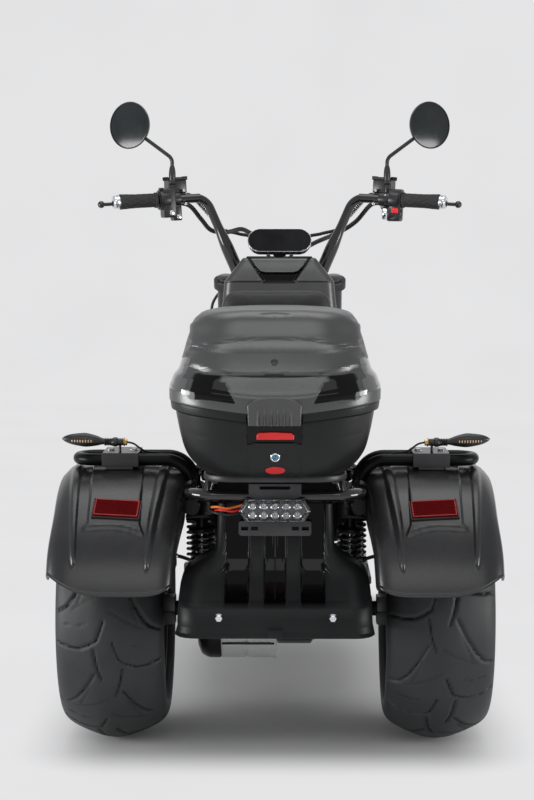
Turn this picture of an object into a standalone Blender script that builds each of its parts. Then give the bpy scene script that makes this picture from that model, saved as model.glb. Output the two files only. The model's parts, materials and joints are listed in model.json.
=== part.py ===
"""Three-wheeled electric scooter: two driven rear wheels, one steered front wheel, a top case.

Metres, +Z up, +Y forward, +X to the vehicle's right.  The origin is on the ground under the
middle of the vehicle.  Stations called `back` are measured forward from the rear axle.
"""
import math

import bmesh
import bpy
from mathutils import Matrix, Vector

# ---------------------------------------------------------------- driving dimensions
WHEELBASE = 1.40            # rear axle to front axle
TRACK = 0.62                # between the middles of the rear tyres
TYRE_RADIUS = 0.25
AXLE_Z = 0.25                # level of the axles in this file's heights, whatever the tyre
TYRE_HALF = 0.098           # half of the tyre's width
TYRE_CROWN = 0.109          # radius of the crown across the tyre
RIM_RADIUS = 0.165          # outer edge of the rim's flange
RIM_HALF = 0.088
BEAD_RADIUS = 0.1534
HUB_RADIUS = 0.036
SPOKES = 5
DISC_RADIUS = 0.105
DISC_OFFSET = 0.072         # brake disc, inboard of the wheel's middle
WHEEL_FACETS = 24

RAKE = math.radians(24.0)   # steering axis, back from the vertical
FORK_OFFSET = 0.035         # front axle ahead of the steering axis
FORK_HALF = 0.134           # fork legs, from the middle plane
SLIDER_RADIUS = 0.028
STANCHION_RADIUS = 0.021
STEM_RADIUS = 0.0155
LEG_FACETS = 12
LOWER_YOKE = 0.432          # heights along the steering axis, above the front axle's level
UPPER_YOKE = 0.655
YOKE_THICK = 0.024
YOKE_EYE = 0.030            # radius of the upper yoke round each leg
HOSE_RADIUS = 0.0035
CONTROL_OUT = 0.262         # controls on the bar, from the middle plane
BAR_HEIGHT = 0.702

BAR_RADIUS = 0.016          # thick lower part of the handlebar
BAR_END_RADIUS = 0.011      # where the grips sit
BAR_FOOT_HALF = 0.098
BAR_TOP_HALF = 0.182
BAR_TOP = 1.070
BAR_NECK_HALF = 0.212       # where the bar has tapered down to its end radius
BAR_END_HALF = 0.392

TUBE_RADIUS = 0.017         # main frame tubes
FRAME_HALF = TRACK / 2 - 0.150   # rear frame rails, from the middle plane
FLOOR_RAIL_HALF = FRAME_HALF + 0.006
FLOOR_RAIL_Z = 0.200
REAR_RAIL_Z = AXLE_Z + TYRE_RADIUS - 0.035
RACK_TUBE = 0.0115          # carrier and fender rail tubes
FENDER_RAIL_BACK = 0.083    # the hairpin's near and far tubes, behind the rear axle
FENDER_RAIL_FORE = 0.007

FENDER_RADIUS = TYRE_RADIUS + 0.033
FENDER_RAIL_Z = AXLE_Z + FENDER_RADIUS + 0.019
FENDER_IN = TRACK / 2 - 0.130    # inner and outer sides of a rear fender
FENDER_OUT = TRACK / 2 + 0.110
FENDER_WALL = 0.004
FENDER_SHIFT = 0.048        # rear arc's centre, behind the axle

AXLE_RADIUS = 0.029
AXLE_HALF = TRACK / 2 - 0.142
SPINDLE_RADIUS = 0.0145
ARM_HALF = 0.108            # swing arm's tubes, from the middle plane
MOTOR_RADIUS = 0.078
MOTOR_BACK = 0.106
MOTOR_Z = 0.208
MOTOR_END = 0.0              # inner end, against the differential's case
MOTOR_LENGTH = 0.157

FLOOR_HALF = FLOOR_RAIL_HALF + 0.039
FLOOR_THICK = 0.022
FLOOR_BACK = 0.365
FLOOR_FRONT = WHEELBASE - 0.470
SHIELD_FRONT = WHEELBASE - 0.445
SHIELD_REAR = WHEELBASE - 0.502
SHIELD_WALL = 0.004

SEAT_REAR = 0.045
SEAT_NOSE = 0.640
SEAT_TOP = 0.665
SEAT_THICK = 0.080

PLATE_BACK = -0.2572        # front face of the plate bracket
PLATE_THICK = 0.0045
PLATE_HALF = 0.0665

CASE_HALF = 0.200
CASE_BOTTOM = REAR_RAIL_Z + 0.080
CASE_SEAM = CASE_BOTTOM + 0.119
CASE_TOP = CASE_SEAM + 0.183
CASE_REAR = 0.368           # behind the rear axle
CASE_FRONT = 0.015          # ahead of it
CASE_WALL = 0.003
LATCH_THICK = 0.008

GAP = 0.0003                # between pieces that touch
GRIP_GAP = 0.0009           # round the handlebar, whose facets differ from its clamps'
PIN_GAP = 0.001             # round a pin that something turns on
BEND_STEP = math.radians(24)     # along a tube's bends
SHARP_ANGLE = math.radians(38)   # edges turned more than this stay sharp

LENGTH_BACK = CASE_REAR + LATCH_THICK
LIFT = TYRE_RADIUS - AXLE_Z
FLOOR_TOP = FLOOR_RAIL_Z + TUBE_RADIUS + GAP + FLOOR_THICK
REAR_AXLE_Y = (LENGTH_BACK - WHEELBASE - TYRE_RADIUS) / 2
FRONT_AXLE = Vector((0, REAR_AXLE_Y + WHEELBASE, TYRE_RADIUS))
AXIS = Vector((0, -math.sin(RAKE), math.cos(RAKE)))
AHEAD = Vector((0, math.cos(RAKE), math.sin(RAKE)))
AXIS_FOOT = FRONT_AXLE - FORK_OFFSET * AHEAD
LID_HINGE = Vector((0, REAR_AXLE_Y + CASE_FRONT + 0.005, CASE_SEAM + 0.004 + LIFT))

# colour, roughness, metallic
PLASTIC = ((0.025, 0.025, 0.027), 0.45, 0.0)
GLOSS = ((0.012, 0.012, 0.014), 0.12, 0.0)
PAINT = ((0.014, 0.014, 0.015), 0.32, 0.0)
RUBBER = ((0.020, 0.020, 0.021), 0.75, 0.0)
LEATHER = ((0.022, 0.022, 0.023), 0.60, 0.0)
ALLOY = ((0.62, 0.62, 0.63), 0.35, 0.9)
BLACK_ALLOY = ((0.03, 0.03, 0.032), 0.35, 0.6)
STEEL = ((0.30, 0.30, 0.31), 0.40, 0.8)
RED = ((0.45, 0.01, 0.01), 0.20, 0.0)
LENS = ((0.72, 0.74, 0.76), 0.10, 0.0)


# ---------------------------------------------------------------- places
def at(x, ahead, z):
    """A point given by its distance ahead of the rear axle; z is for axles at AXLE_Z."""
    return Vector((x, REAR_AXLE_Y + ahead, z + LIFT))


def fore(x, behind, z):
    """A point given by its distance behind the front axle."""
    return at(x, WHEELBASE - behind, z)


def steer(x, ahead, up):
    """A point given in the steering axis's own frame."""
    return AXIS_FOOT + Vector((x, 0, 0)) + ahead * AHEAD + up * AXIS


def frame_on(origin, direction):
    """Matrix whose Z lies along direction and whose origin is at origin."""
    turn = direction.normalized().to_track_quat("Z", "Y" if abs(direction.x) < 0.9 else "X")
    return Matrix.Translation(origin) @ turn.to_matrix().to_4x4()


# ---------------------------------------------------------------- modelling helpers
def finish(name, look):
    """The sub-part's own material."""
    colour, roughness, metallic = look
    material = bpy.data.materials.new(name + "_finish")
    material.use_nodes = True
    shader = material.node_tree.nodes["Principled BSDF"]
    shader.inputs["Base Color"].default_value = (*colour, 1.0)
    shader.inputs["Roughness"].default_value = roughness
    shader.inputs["Metallic"].default_value = metallic
    return material


def piece(name, bm, look):
    """An object named after its sub-part, from a bmesh in world coordinates."""
    mesh = bpy.data.meshes.new(name)
    bmesh.ops.recalc_face_normals(bm, faces=bm.faces)
    bm.to_mesh(mesh)
    bm.free()
    mesh.shade_smooth()
    mesh.set_sharp_from_angle(angle=SHARP_ANGLE)
    obj = bpy.data.objects.new(name, mesh)
    mesh.materials.append(finish(name, look))
    bpy.context.scene.collection.objects.link(obj)
    return obj


def skin(rings, closed=False):
    """Solid over rings of equal point counts; closed joins the last ring to the first."""
    bm = bmesh.new()
    rows = [[bm.verts.new(point) for point in ring] for ring in rings]
    count = len(rows[0])
    pairs = list(zip(rows, rows[1:]))
    if closed:
        pairs.append((rows[-1], rows[0]))
    for low, high in pairs:
        for i in range(count):
            j = (i + 1) % count
            bm.faces.new((low[i], low[j], high[j], high[i]))
    if not closed:
        bm.faces.new(rows[0][::-1])
        bm.faces.new(rows[-1])
    return bm


def sheet(rows):
    """Open grid over rows of points, to be given its wall by a Solidify modifier."""
    bm = bmesh.new()
    grid = [[bm.verts.new(point) for point in row] for row in rows]
    for low, high in zip(grid, grid[1:]):
        for i in range(len(low) - 1):
            bm.faces.new((low[i], low[i + 1], high[i + 1], high[i]))
    return bm


def lathe(profile, facets, axis_matrix, flats=False):
    """Ring turned about local Z from a closed profile of (height, radius) points.

    With flats, the middles of the facets, and not their edges, lie at the given radii.
    """
    grow = 1 / math.cos(math.pi / facets) if flats else 1.0
    rings = []
    for k in range(facets):
        turn = 2 * math.pi * (k + 0.5) / facets
        way = Vector((math.cos(turn), math.sin(turn), 0)) * grow
        rings.append([axis_matrix @ (way * radius + Vector((0, 0, height))) for height, radius in profile])
    return skin(rings, closed=True)


def rod(profile, facets, axis_matrix):
    """Solid turned about local Z from (height, radius) points, with flat ends."""
    rings = []
    for height, radius in profile:
        turns = [2 * math.pi * (k + 0.5) / facets for k in range(facets)]
        ring = [Vector((radius * math.cos(t), radius * math.sin(t), height)) for t in turns]
        rings.append([axis_matrix @ point for point in ring])
    return skin(rings)


def box(low, high, matrix=Matrix.Identity(4)):
    """Box between two corners."""
    x0, y0, z0 = low
    x1, y1, z1 = high
    floor = [(x0, y0), (x1, y0), (x1, y1), (x0, y1)]
    return skin([[matrix @ Vector((x, y, z)) for x, y in floor] for z in (z0, z1)])


def prism(outline, low, high, matrix=Matrix.Identity(4)):
    """Outline in local XY, extruded along local Z from low to high."""
    return skin([[matrix @ Vector((x, y, z)) for x, y in outline] for z in (low, high)])


def round_rect(half_x, low_y, high_y, corner_low, corner_high, steps=4):
    """Rounded rectangle, counter-clockwise, with its own corner radii at its low and high ends."""
    centres = [(half_x - corner_low, low_y + corner_low, corner_low, -90),
               (half_x - corner_high, high_y - corner_high, corner_high, 0),
               (corner_high - half_x, high_y - corner_high, corner_high, 90),
               (corner_low - half_x, low_y + corner_low, corner_low, 180)]
    points = []
    for cx, cy, radius, start in centres:
        for k in range(steps + 1):
            angle = math.radians(start + 90 * k / steps)
            points.append((cx + radius * math.cos(angle), cy + radius * math.sin(angle)))
    return points


def bent(corners, radii):
    """Centre line of a bent tube: straight runs joined by arcs at the inner corners."""
    points = [corners[0]]
    for before, corner, after, radius in zip(corners, corners[1:], corners[2:], radii):
        come = (before - corner).normalized()
        go = (after - corner).normalized()
        opening = come.angle(go)
        reach = radius / math.tan(opening / 2)
        centre = corner + (come + go).normalized() * radius / math.sin(opening / 2)
        start = corner + come * reach - centre
        turn = math.pi - opening
        axle = start.cross(corner + go * reach - centre).normalized()
        steps = max(1, round(turn / BEND_STEP))
        for k in range(steps + 1):
            points.append(centre + Matrix.Rotation(turn * k / steps, 3, axle) @ start)
    points.append(corners[-1])
    return points


def smooth_run(knots, per_span=6):
    """Points on a smooth curve through the knots."""
    points = []
    padded = [knots[0] * 2 - knots[1]] + list(knots) + [knots[-1] * 2 - knots[-2]]
    for a, b, c, d in zip(padded, padded[1:], padded[2:], padded[3:]):
        for k in range(per_span):
            t = k / per_span
            points.append(0.5 * (2 * b + (c - a) * t + (2 * a - 5 * b + 4 * c - d) * t * t
                                 + (3 * b - a - 3 * c + d) * t ** 3))
    points.append(knots[-1])
    return points


def tube(points, radius, sides=3, widths=None):
    """bmesh of a curve with a round bevel and filled caps; sides is its bevel resolution."""
    curve = bpy.data.curves.new("run", "CURVE")
    curve.dimensions = "3D"
    curve.bevel_depth = radius
    curve.bevel_resolution = sides
    curve.use_fill_caps = True
    spline = curve.splines.new("POLY")
    spline.points.add(len(points) - 1)
    for k, (knot, point) in enumerate(zip(spline.points, points)):
        knot.co = (*point, 1.0)
        knot.radius = widths[k] / radius if widths else 1.0
    holder = bpy.data.objects.new("run", curve)
    mesh = bpy.data.meshes.new_from_object(holder)
    bm = bmesh.new()
    bm.from_mesh(mesh)
    bmesh.ops.remove_doubles(bm, verts=bm.verts, dist=1e-6)
    bpy.data.objects.remove(holder)
    bpy.data.meshes.remove(mesh)
    bpy.data.curves.remove(curve)
    return bm


def combine(obj, bm, operation="UNION"):
    """Joins the bmesh's solid to the object, or cuts it out."""
    tool_mesh = bpy.data.meshes.new("tool")
    bmesh.ops.recalc_face_normals(bm, faces=bm.faces)
    bm.to_mesh(tool_mesh)
    bm.free()
    tool = bpy.data.objects.new("tool", tool_mesh)
    bpy.context.scene.collection.objects.link(tool)
    step = obj.modifiers.new("step", "BOOLEAN")
    step.operation = operation
    step.solver = "EXACT"
    step.object = tool
    result = bpy.data.meshes.new_from_object(obj.evaluated_get(bpy.context.evaluated_depsgraph_get()))
    obj.modifiers.clear()
    old = obj.data
    obj.data = result
    result.name = old.name
    bpy.data.meshes.remove(old)
    bpy.data.objects.remove(tool)
    bpy.data.meshes.remove(tool_mesh)
    return obj


def weld(name, shapes, look, cuts=()):
    """One sub-part from several overlapping solids, less the cuts."""
    obj = piece(name, shapes[0], look)
    for shape in shapes[1:]:
        combine(obj, shape, "UNION")
    for shape in cuts:
        combine(obj, shape, "DIFFERENCE")
    obj.data.shade_smooth()
    obj.data.set_sharp_from_angle(angle=SHARP_ANGLE)
    return obj


def wall(obj, thickness):
    """Gives a sheet its wall."""
    shell = obj.modifiers.new("wall", "SOLIDIFY")
    shell.thickness = thickness
    shell.offset = -1.0
    shell.use_even_offset = True
    return obj


def hang(obj, pivot):
    """Moves the object's origin to its body's pivot and parents it there."""
    centre = pivot.matrix_world.translation.copy()
    obj.data.transform(Matrix.Translation(-centre))
    obj.parent = pivot
    return obj


def pivot(name, centre):
    """Empty on a joint's axis."""
    empty = bpy.data.objects.new(name, None)
    empty.location = centre
    bpy.context.scene.collection.objects.link(empty)
    bpy.context.view_layer.update()
    return empty


SIDES = (("left", -1), ("right", 1))
ALONG_X = Matrix.Rotation(math.pi / 2, 4, "Y")


# ---------------------------------------------------------------- wheels
def tyre_profile():
    """Carcass of a wide round-crowned tyre: crown, sidewalls, beads and its hollow."""
    seat = RIM_HALF - 0.0083 - GAP
    bead = BEAD_RADIUS + GAP
    over = RIM_RADIUS + 0.0015
    crown = []
    for share in (0.84, 0.50):
        across = TYRE_HALF * share
        crown.append((across, TYRE_RADIUS - TYRE_CROWN + math.sqrt(TYRE_CROWN ** 2 - across ** 2)))
    half = [(seat - 0.010, bead), (seat, bead), (seat, over), (TYRE_HALF - 0.006, over + 0.008),
            (TYRE_HALF, TYRE_RADIUS - 0.066)] + crown + [(TYRE_HALF * 0.2, TYRE_RADIUS)]
    hollow = [(-TYRE_HALF + 0.014, TYRE_RADIUS - 0.064), (0.0, TYRE_RADIUS - 0.018),
              (TYRE_HALF - 0.014, TYRE_RADIUS - 0.064)]
    return half + [(-t, r) for t, r in reversed(half)] + hollow


def rim_profile():
    """Well, bead seats and flanges of the rim."""
    flange = RIM_HALF - 0.008
    well, under, edge = BEAD_RADIUS - 0.015, BEAD_RADIUS - 0.022, RIM_RADIUS - 0.007
    return [(-RIM_HALF, RIM_RADIUS), (-flange, RIM_RADIUS), (-flange, BEAD_RADIUS), (-0.038, well),
            (0.038, well), (flange, BEAD_RADIUS), (flange, RIM_RADIUS), (RIM_HALF, RIM_RADIUS),
            (RIM_HALF, edge), (0.042, under), (-0.042, under), (-RIM_HALF, edge)]


def spoke(matrix, turn):
    """One flat tapering spoke of the cast wheel, from inside the hub into the well."""
    inner, outer = HUB_RADIUS - 0.008, BEAD_RADIUS - 0.0185
    rows = [(inner, 0.0155, 0.016, 0.044), (0.085, 0.013, 0.020, 0.040), (outer, 0.019, 0.014, 0.034)]
    rings = []
    for radius, half, low, high in rows:
        ring = [(-half, low), (half, low), (half * 0.6, high), (-half * 0.6, high)]
        rings.append([matrix @ Matrix.Rotation(turn, 4, "Z") @ Vector((radius, w, h)) for w, h in ring])
    return skin(rings)


def wheel(prefix, centre, outboard, spin_pivot):
    """Tyre, and cast rim with its hub and brake disc; outboard is the way its face looks along X."""
    face = Matrix.Translation(centre) @ Matrix.Rotation(outboard * math.pi / 2, 4, "Y")
    tyre = piece(prefix + "_tyre", lathe(tyre_profile(), WHEEL_FACETS, face, True), RUBBER)
    hub = [(-0.095, SPINDLE_RADIUS + PIN_GAP), (-0.095, HUB_RADIUS - 0.006), (-0.089, HUB_RADIUS),
           (0.060, HUB_RADIUS), (0.070, HUB_RADIUS - 0.010), (0.070, SPINDLE_RADIUS + PIN_GAP)]
    disc = [(-DISC_OFFSET - 0.002, HUB_RADIUS - 0.008), (-DISC_OFFSET - 0.002, DISC_RADIUS),
            (-DISC_OFFSET + 0.002, DISC_RADIUS), (-DISC_OFFSET + 0.002, HUB_RADIUS - 0.008)]
    shapes = [lathe(rim_profile(), WHEEL_FACETS, face, True), lathe(hub, 12, face)]
    shapes += [spoke(face, 2 * math.pi * k / SPOKES + 0.3) for k in range(SPOKES)]
    shapes.append(lathe(disc, 20, face))
    rim = weld(prefix + "_rim", [shapes[1]] + shapes[2:-1] + [shapes[0], shapes[-1]], BLACK_ALLOY)
    for part in (tyre, rim):
        hang(part, spin_pivot)


# ---------------------------------------------------------------- rear running gear
def rear_axle():
    """Axle tube with spindles, and the differential's case reaching forward to the motor."""
    across = Matrix.Translation(at(0, 0, AXLE_Z)) @ ALONG_X
    spindle = TRACK / 2 + 0.070
    profile = [(-spindle, SPINDLE_RADIUS), (-AXLE_HALF - 0.020, SPINDLE_RADIUS), (-AXLE_HALF - 0.020, 0.024),
               (-AXLE_HALF, 0.024), (-AXLE_HALF, AXLE_RADIUS), (AXLE_HALF, AXLE_RADIUS), (AXLE_HALF, 0.024),
               (AXLE_HALF + 0.020, 0.024), (AXLE_HALF + 0.020, SPINDLE_RADIUS), (spindle, SPINDLE_RADIUS)]
    case_outline = []
    for cy, cz, radius, start in ((MOTOR_BACK, MOTOR_Z, 0.052, -80), (0.0, AXLE_Z, 0.066, 110)):
        for k in range(7):
            angle = math.radians(start + 180 * k / 6)
            case_outline.append((cy + radius * math.cos(angle), cz + radius * math.sin(angle)))
    side = Matrix(((0, 0, 1, 0), (1, 0, 0, REAR_AXLE_Y), (0, 1, 0, LIFT), (0, 0, 0, 1)))
    case = prism(case_outline, MOTOR_END + GAP, 0.072, side)
    return weld("rear_axle", [rod(profile, 16, across), case], PAINT)


def drive_motor():
    """Motor lying across the vehicle beside the differential's case: end caps and ribbed shell."""
    across = Matrix.Translation(at(MOTOR_END, MOTOR_BACK, MOTOR_Z)) @ ALONG_X
    r = MOTOR_RADIUS
    profile = [(-MOTOR_LENGTH, r - 0.026), (-MOTOR_LENGTH + 0.008, r - 0.008), (-MOTOR_LENGTH + 0.022, r),
               (-0.106, r), (-0.104, r - 0.004), (-0.012, r - 0.004), (-0.010, r), (0.0, r)]
    return piece("drive_motor", rod(profile, 20, across), ALLOY)


def swing_arm():
    """Two trailing arms over the axle, joined at the pivot tube."""
    pivot_ahead = 0.330
    shapes = [tube([at(-0.140, pivot_ahead, 0.312), at(0.140, pivot_ahead, 0.312)], 0.017)]
    for _, side in SIDES:
        x = side * ARM_HALF
        shapes.append(tube([at(x, pivot_ahead, 0.312), at(x, 0.16, 0.330), at(x, 0.0, 0.3275)], 0.015))
        shapes.append(box(at(x - 0.020, -0.024, AXLE_Z + AXLE_RADIUS + GAP), at(x + 0.020, 0.024, 0.326)))
    return weld("swing_arm", shapes, PAINT)


def shocks(name, side):
    """Two coil-over shock absorbers, behind and ahead of the axle, under one tower plate."""
    top = REAR_RAIL_Z - TUBE_RADIUS - GAP
    plate = box(at(side * (FRAME_HALF + 0.012), -0.105, top - 0.006),
                at(side * (FRAME_HALF - 0.040), 0.105, top))
    shapes = [plate]
    for inward, ahead in ((0.018, -0.075), (0.005, 0.075)):
        foot = at(side * (FRAME_HALF - inward), ahead * 0.86, 0.300)
        head = at(side * (FRAME_HALF - inward), ahead, top - 0.003)
        line = frame_on(foot, head - foot)
        reach = (head - foot).length
        profile = [(0.0, 0.011), (0.022, 0.011), (0.022, 0.026), (0.030, 0.026), (0.032, 0.024),
                   (reach - 0.034, 0.024), (reach - 0.032, 0.026), (reach - 0.020, 0.026), (reach, 0.012)]
        shapes.append(rod(profile, 10, line))
    return weld(name, shapes, PAINT)


def rear_caliper(name, side):
    """Brake caliper over the disc, on its arm from the axle tube's end, with its hose to the swing arm."""
    slot, face = TRACK / 2 - DISC_OFFSET, AXLE_HALF + 0.001
    body = box(at(side * (slot - 0.034), -0.030, 0.312), at(side * (slot + 0.016), 0.030, 0.366))
    arm = box(at(side * face, -0.012, AXLE_Z + 0.0243), at(side * (face + 0.011), 0.012, 0.340))
    link = box(at(side * face, -0.012, 0.322), at(side * (slot - 0.030), 0.012, 0.340))
    gap = box(at(side * (slot - 0.004), -0.040, 0.300), at(side * (slot + 0.004), 0.040, 0.3585))
    # from the banjo on the caliper in to the swing arm
    knots = [at(side * x, y, z) for x, y, z in (
        (slot - 0.030, -0.004, 0.352), (slot - 0.044, -0.004, 0.3535), (slot - 0.060, -0.002, 0.349),
        (slot - 0.085, 0.0, 0.339), (ARM_HALF + 0.0165, 0.0, 0.332))]
    hose = tube(smooth_run(knots, 3), HOSE_RADIUS, 2)
    banjo = box(at(side * (slot - 0.040), -0.009, 0.348), at(side * (slot - 0.030), 0.003, 0.358))
    return weld(name, [body, arm, link, banjo, hose], ALLOY, [gap])


# ---------------------------------------------------------------- frame
def frame_rail(name, side):
    """One side of the frame: down tube, floor rail, upright and rear rail in a single bent tube."""
    neck, wide, floor = side * 0.0645, side * FRAME_HALF, side * FLOOR_RAIL_HALF
    corners = [fore(neck, 0.295, 0.745), fore(neck, 0.325, 0.620), fore(wide, 0.390, 0.360),
               fore(floor, 0.430, FLOOR_RAIL_Z), at(floor, 0.360, FLOOR_RAIL_Z),
               at(wide, 0.220, REAR_RAIL_Z), at(wide, -0.115, REAR_RAIL_Z)]
    path = bent(corners, [0.10, 0.16, 0.07, 0.09, 0.09])
    return piece(name, tube(path, TUBE_RADIUS, 2), PAINT)


def head_tube():
    """Steering head with bearing cups, its neck between the down tubes, and the shield's stay."""
    low, high = LOWER_YOKE + 0.030, UPPER_YOKE - 0.005
    along = frame_on(AXIS_FOOT, AXIS)
    bore = STEM_RADIUS + 0.0015
    profile = [(low, bore), (low, 0.033), (low + 0.016, 0.033), (low + 0.020, 0.028), (high - 0.020, 0.028),
               (high - 0.016, 0.033), (high, 0.033), (high, bore)]
    ring = lathe(profile, 16, along)
    block = []
    for ahead, half, down, up in ((-0.0235, 0.020, low + 0.022, high - 0.022),
                                  (-0.050, 0.045, low + 0.026, high - 0.040),
                                  (-0.088, 0.045, low + 0.040, high - 0.050)):
        block.append([steer(-half, ahead, down), steer(half, ahead, down), steer(half, ahead, up),
                      steer(-half, ahead, up)])
    stay = box(at(-0.030, SHIELD_REAR + SHIELD_WALL + GAP, 0.690), fore(0.030, 0.315, 0.712))
    return weld("head_tube", [ring, skin(block), stay], PAINT)


def leg_shield():
    """Moulded shield behind the steering head: a shell open to the front, with a hooded pocket in its top."""
    bottom, back = FLOOR_TOP + GAP, SHIELD_REAR
    # height, half-width, rear face, front edge, corner radius
    rows = [(bottom, 0.118, back - 0.018, back + 0.030, 0.012),
            (0.262, 0.122, back - 0.014, back + 0.034, 0.016),
            (0.330, 0.150, back - 0.008, back + 0.040, 0.022),
            (0.470, 0.172, back, back + 0.050, 0.026),
            (0.600, 0.170, back, back + 0.056, 0.026),
            (0.720, 0.152, back, SHIELD_FRONT, 0.024),
            (0.800, 0.138, back + 0.002, SHIELD_FRONT, 0.022),
            (0.868, 0.130, back + 0.004, SHIELD_FRONT, 0.020),
            (0.900, 0.106, back + 0.008, SHIELD_FRONT - 0.003, 0.018),
            (0.922, 0.089, back + 0.014, SHIELD_FRONT - 0.009, 0.014)]
    outer, hollow = [], []
    for z, half, rear, front, corner in rows:
        outer.append([at(x, y, z) for x, y in round_rect(half, rear, front, corner, 0.006, 3)])
        if z < 0.85:
            low = -0.010 if z == bottom else 0.0
            wall_in = SHIELD_WALL
            inside = round_rect(half - wall_in, rear + wall_in, front + 0.020, corner - wall_in, 0.004, 3)
            hollow.append([at(x, y, z + low) for x, y in inside])
    obj = combine(piece("leg_shield", skin(outer), PLASTIC), skin(hollow), "DIFFERENCE")
    pocket = []
    for y, narrow, wide in ((back - 0.020, 0.052, 0.086), (back + 0.022, 0.045, 0.074)):
        pocket.append([at(-narrow, y, 0.866), at(narrow, y, 0.866), at(wide, y, 0.930), at(-wide, y, 0.930)])
    combine(obj, skin(pocket), "DIFFERENCE")
    hood = []
    for y, half, low in ((back + 0.006, 0.050, 0.882), (back + 0.024, 0.062, 0.872)):
        narrow = half * 0.62
        hood.append([at(-half, y, 0.9215), at(-narrow, y, low), at(narrow, y, low), at(half, y, 0.9215)])
    return combine(obj, skin(hood), "UNION")


def floorboard():
    """Foot platform on the floor rails, with raised edges and a ribbed mat."""
    low = FLOOR_RAIL_Z + TUBE_RADIUS + GAP
    waist = FLOOR_RAIL_HALF - TUBE_RADIUS - 0.010
    # station and half-width, from the rear edge forward: narrow between the frame's bends
    edge = [(FLOOR_BACK, waist - 0.015), (FLOOR_BACK + 0.015, waist), (FLOOR_BACK + 0.070, waist),
            (FLOOR_BACK + 0.085, FLOOR_HALF - 0.012), (FLOOR_BACK + 0.100, FLOOR_HALF),
            (FLOOR_FRONT - 0.115, FLOOR_HALF), (FLOOR_FRONT - 0.095, FLOOR_HALF - 0.012),
            (FLOOR_FRONT - 0.078, waist), (FLOOR_FRONT, waist)]
    outline = [(half, back) for back, half in edge] + [(-half, back) for back, half in reversed(edge)]
    rings = [[at(x, y, z) for x, y in outline] for z in (low, low + FLOOR_THICK)]
    obj = piece("floorboard", skin(rings), PLASTIC)
    grooves = 6
    pitch = (FLOOR_FRONT - FLOOR_BACK - 0.193) / grooves
    for k in range(grooves):
        near = FLOOR_BACK + 0.095 + pitch * k
        groove = box(at(-FLOOR_HALF + 0.035, near, low + FLOOR_THICK - 0.004),
                     at(FLOOR_HALF - 0.035, near + pitch * 0.35, low + FLOOR_THICK + 0.010))
        combine(obj, groove, "DIFFERENCE")
    return obj


def battery_box():
    """Battery under the floor, hung between the floor rails."""
    top = FLOOR_RAIL_Z + TUBE_RADIUS
    half = FLOOR_RAIL_HALF - TUBE_RADIUS - 0.004
    rear, front = FLOOR_BACK + 0.035, FLOOR_FRONT - 0.030
    rings = []
    for z, cut, corner in ((0.126, 0.012, 0.020), (0.138, 0.0, 0.026), (top, 0.0, 0.026)):
        outline = round_rect(half - cut, rear + cut, front - cut, corner, corner, 3)
        rings.append([at(x, y, z) for x, y in outline])
    return piece("battery_box", skin(rings), PAINT)


def seat_housing():
    """Moulded body under the seat, between and over the rear frame rails."""
    # height, half-width, rear, front, corner
    inside = FRAME_HALF - TUBE_RADIUS - 0.006
    over = REAR_RAIL_Z + TUBE_RADIUS + 0.002
    rows = [(0.362, inside - 0.010, 0.130, 0.250, 0.020), (0.400, inside, 0.110, 0.300, 0.025),
            (over - 0.001, inside, 0.106, 0.420, 0.030), (over, inside + 0.013, 0.106, 0.425, 0.030),
            (0.540, inside + 0.021, 0.106, 0.490, 0.040),
            (SEAT_TOP - SEAT_THICK - GAP, inside + 0.013, 0.106, 0.560, 0.050)]
    rings = []
    for z, half, rear, front, corner in rows:
        rings.append([at(x, y, z) for x, y in round_rect(half, rear, front, 0.020, corner, 3)])
    return piece("seat_housing", skin(rings), PLASTIC)


def seat():
    """Two-person saddle: wide rear, narrow nose, crowned top."""
    bottom = SEAT_TOP - SEAT_THICK
    # station, half-width, top
    rows = [(SEAT_REAR, 0.125, SEAT_TOP - 0.012), (SEAT_REAR + 0.03, 0.148, SEAT_TOP),
            (0.20, 0.158, SEAT_TOP), (0.33, 0.155, SEAT_TOP - 0.006), (0.46, 0.140, SEAT_TOP - 0.010), (0.56, 0.118, SEAT_TOP - 0.008),
            (SEAT_NOSE - 0.02, 0.092, SEAT_TOP - 0.016), (SEAT_NOSE, 0.070, SEAT_TOP - 0.028)]
    rings = []
    for back, half, top in rows:
        right = [(half - 0.006, bottom), (half, bottom + 0.014), (half - 0.004, top - 0.028),
                 (half - 0.022, top - 0.008), (half * 0.45, top)]
        ring = [(-right[0][0], bottom)] + right + [(-x, z) for x, z in reversed(right[1:])]
        rings.append([at(x, back, z) for x, z in ring])
    return piece("seat", skin(rings), LEATHER)


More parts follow.
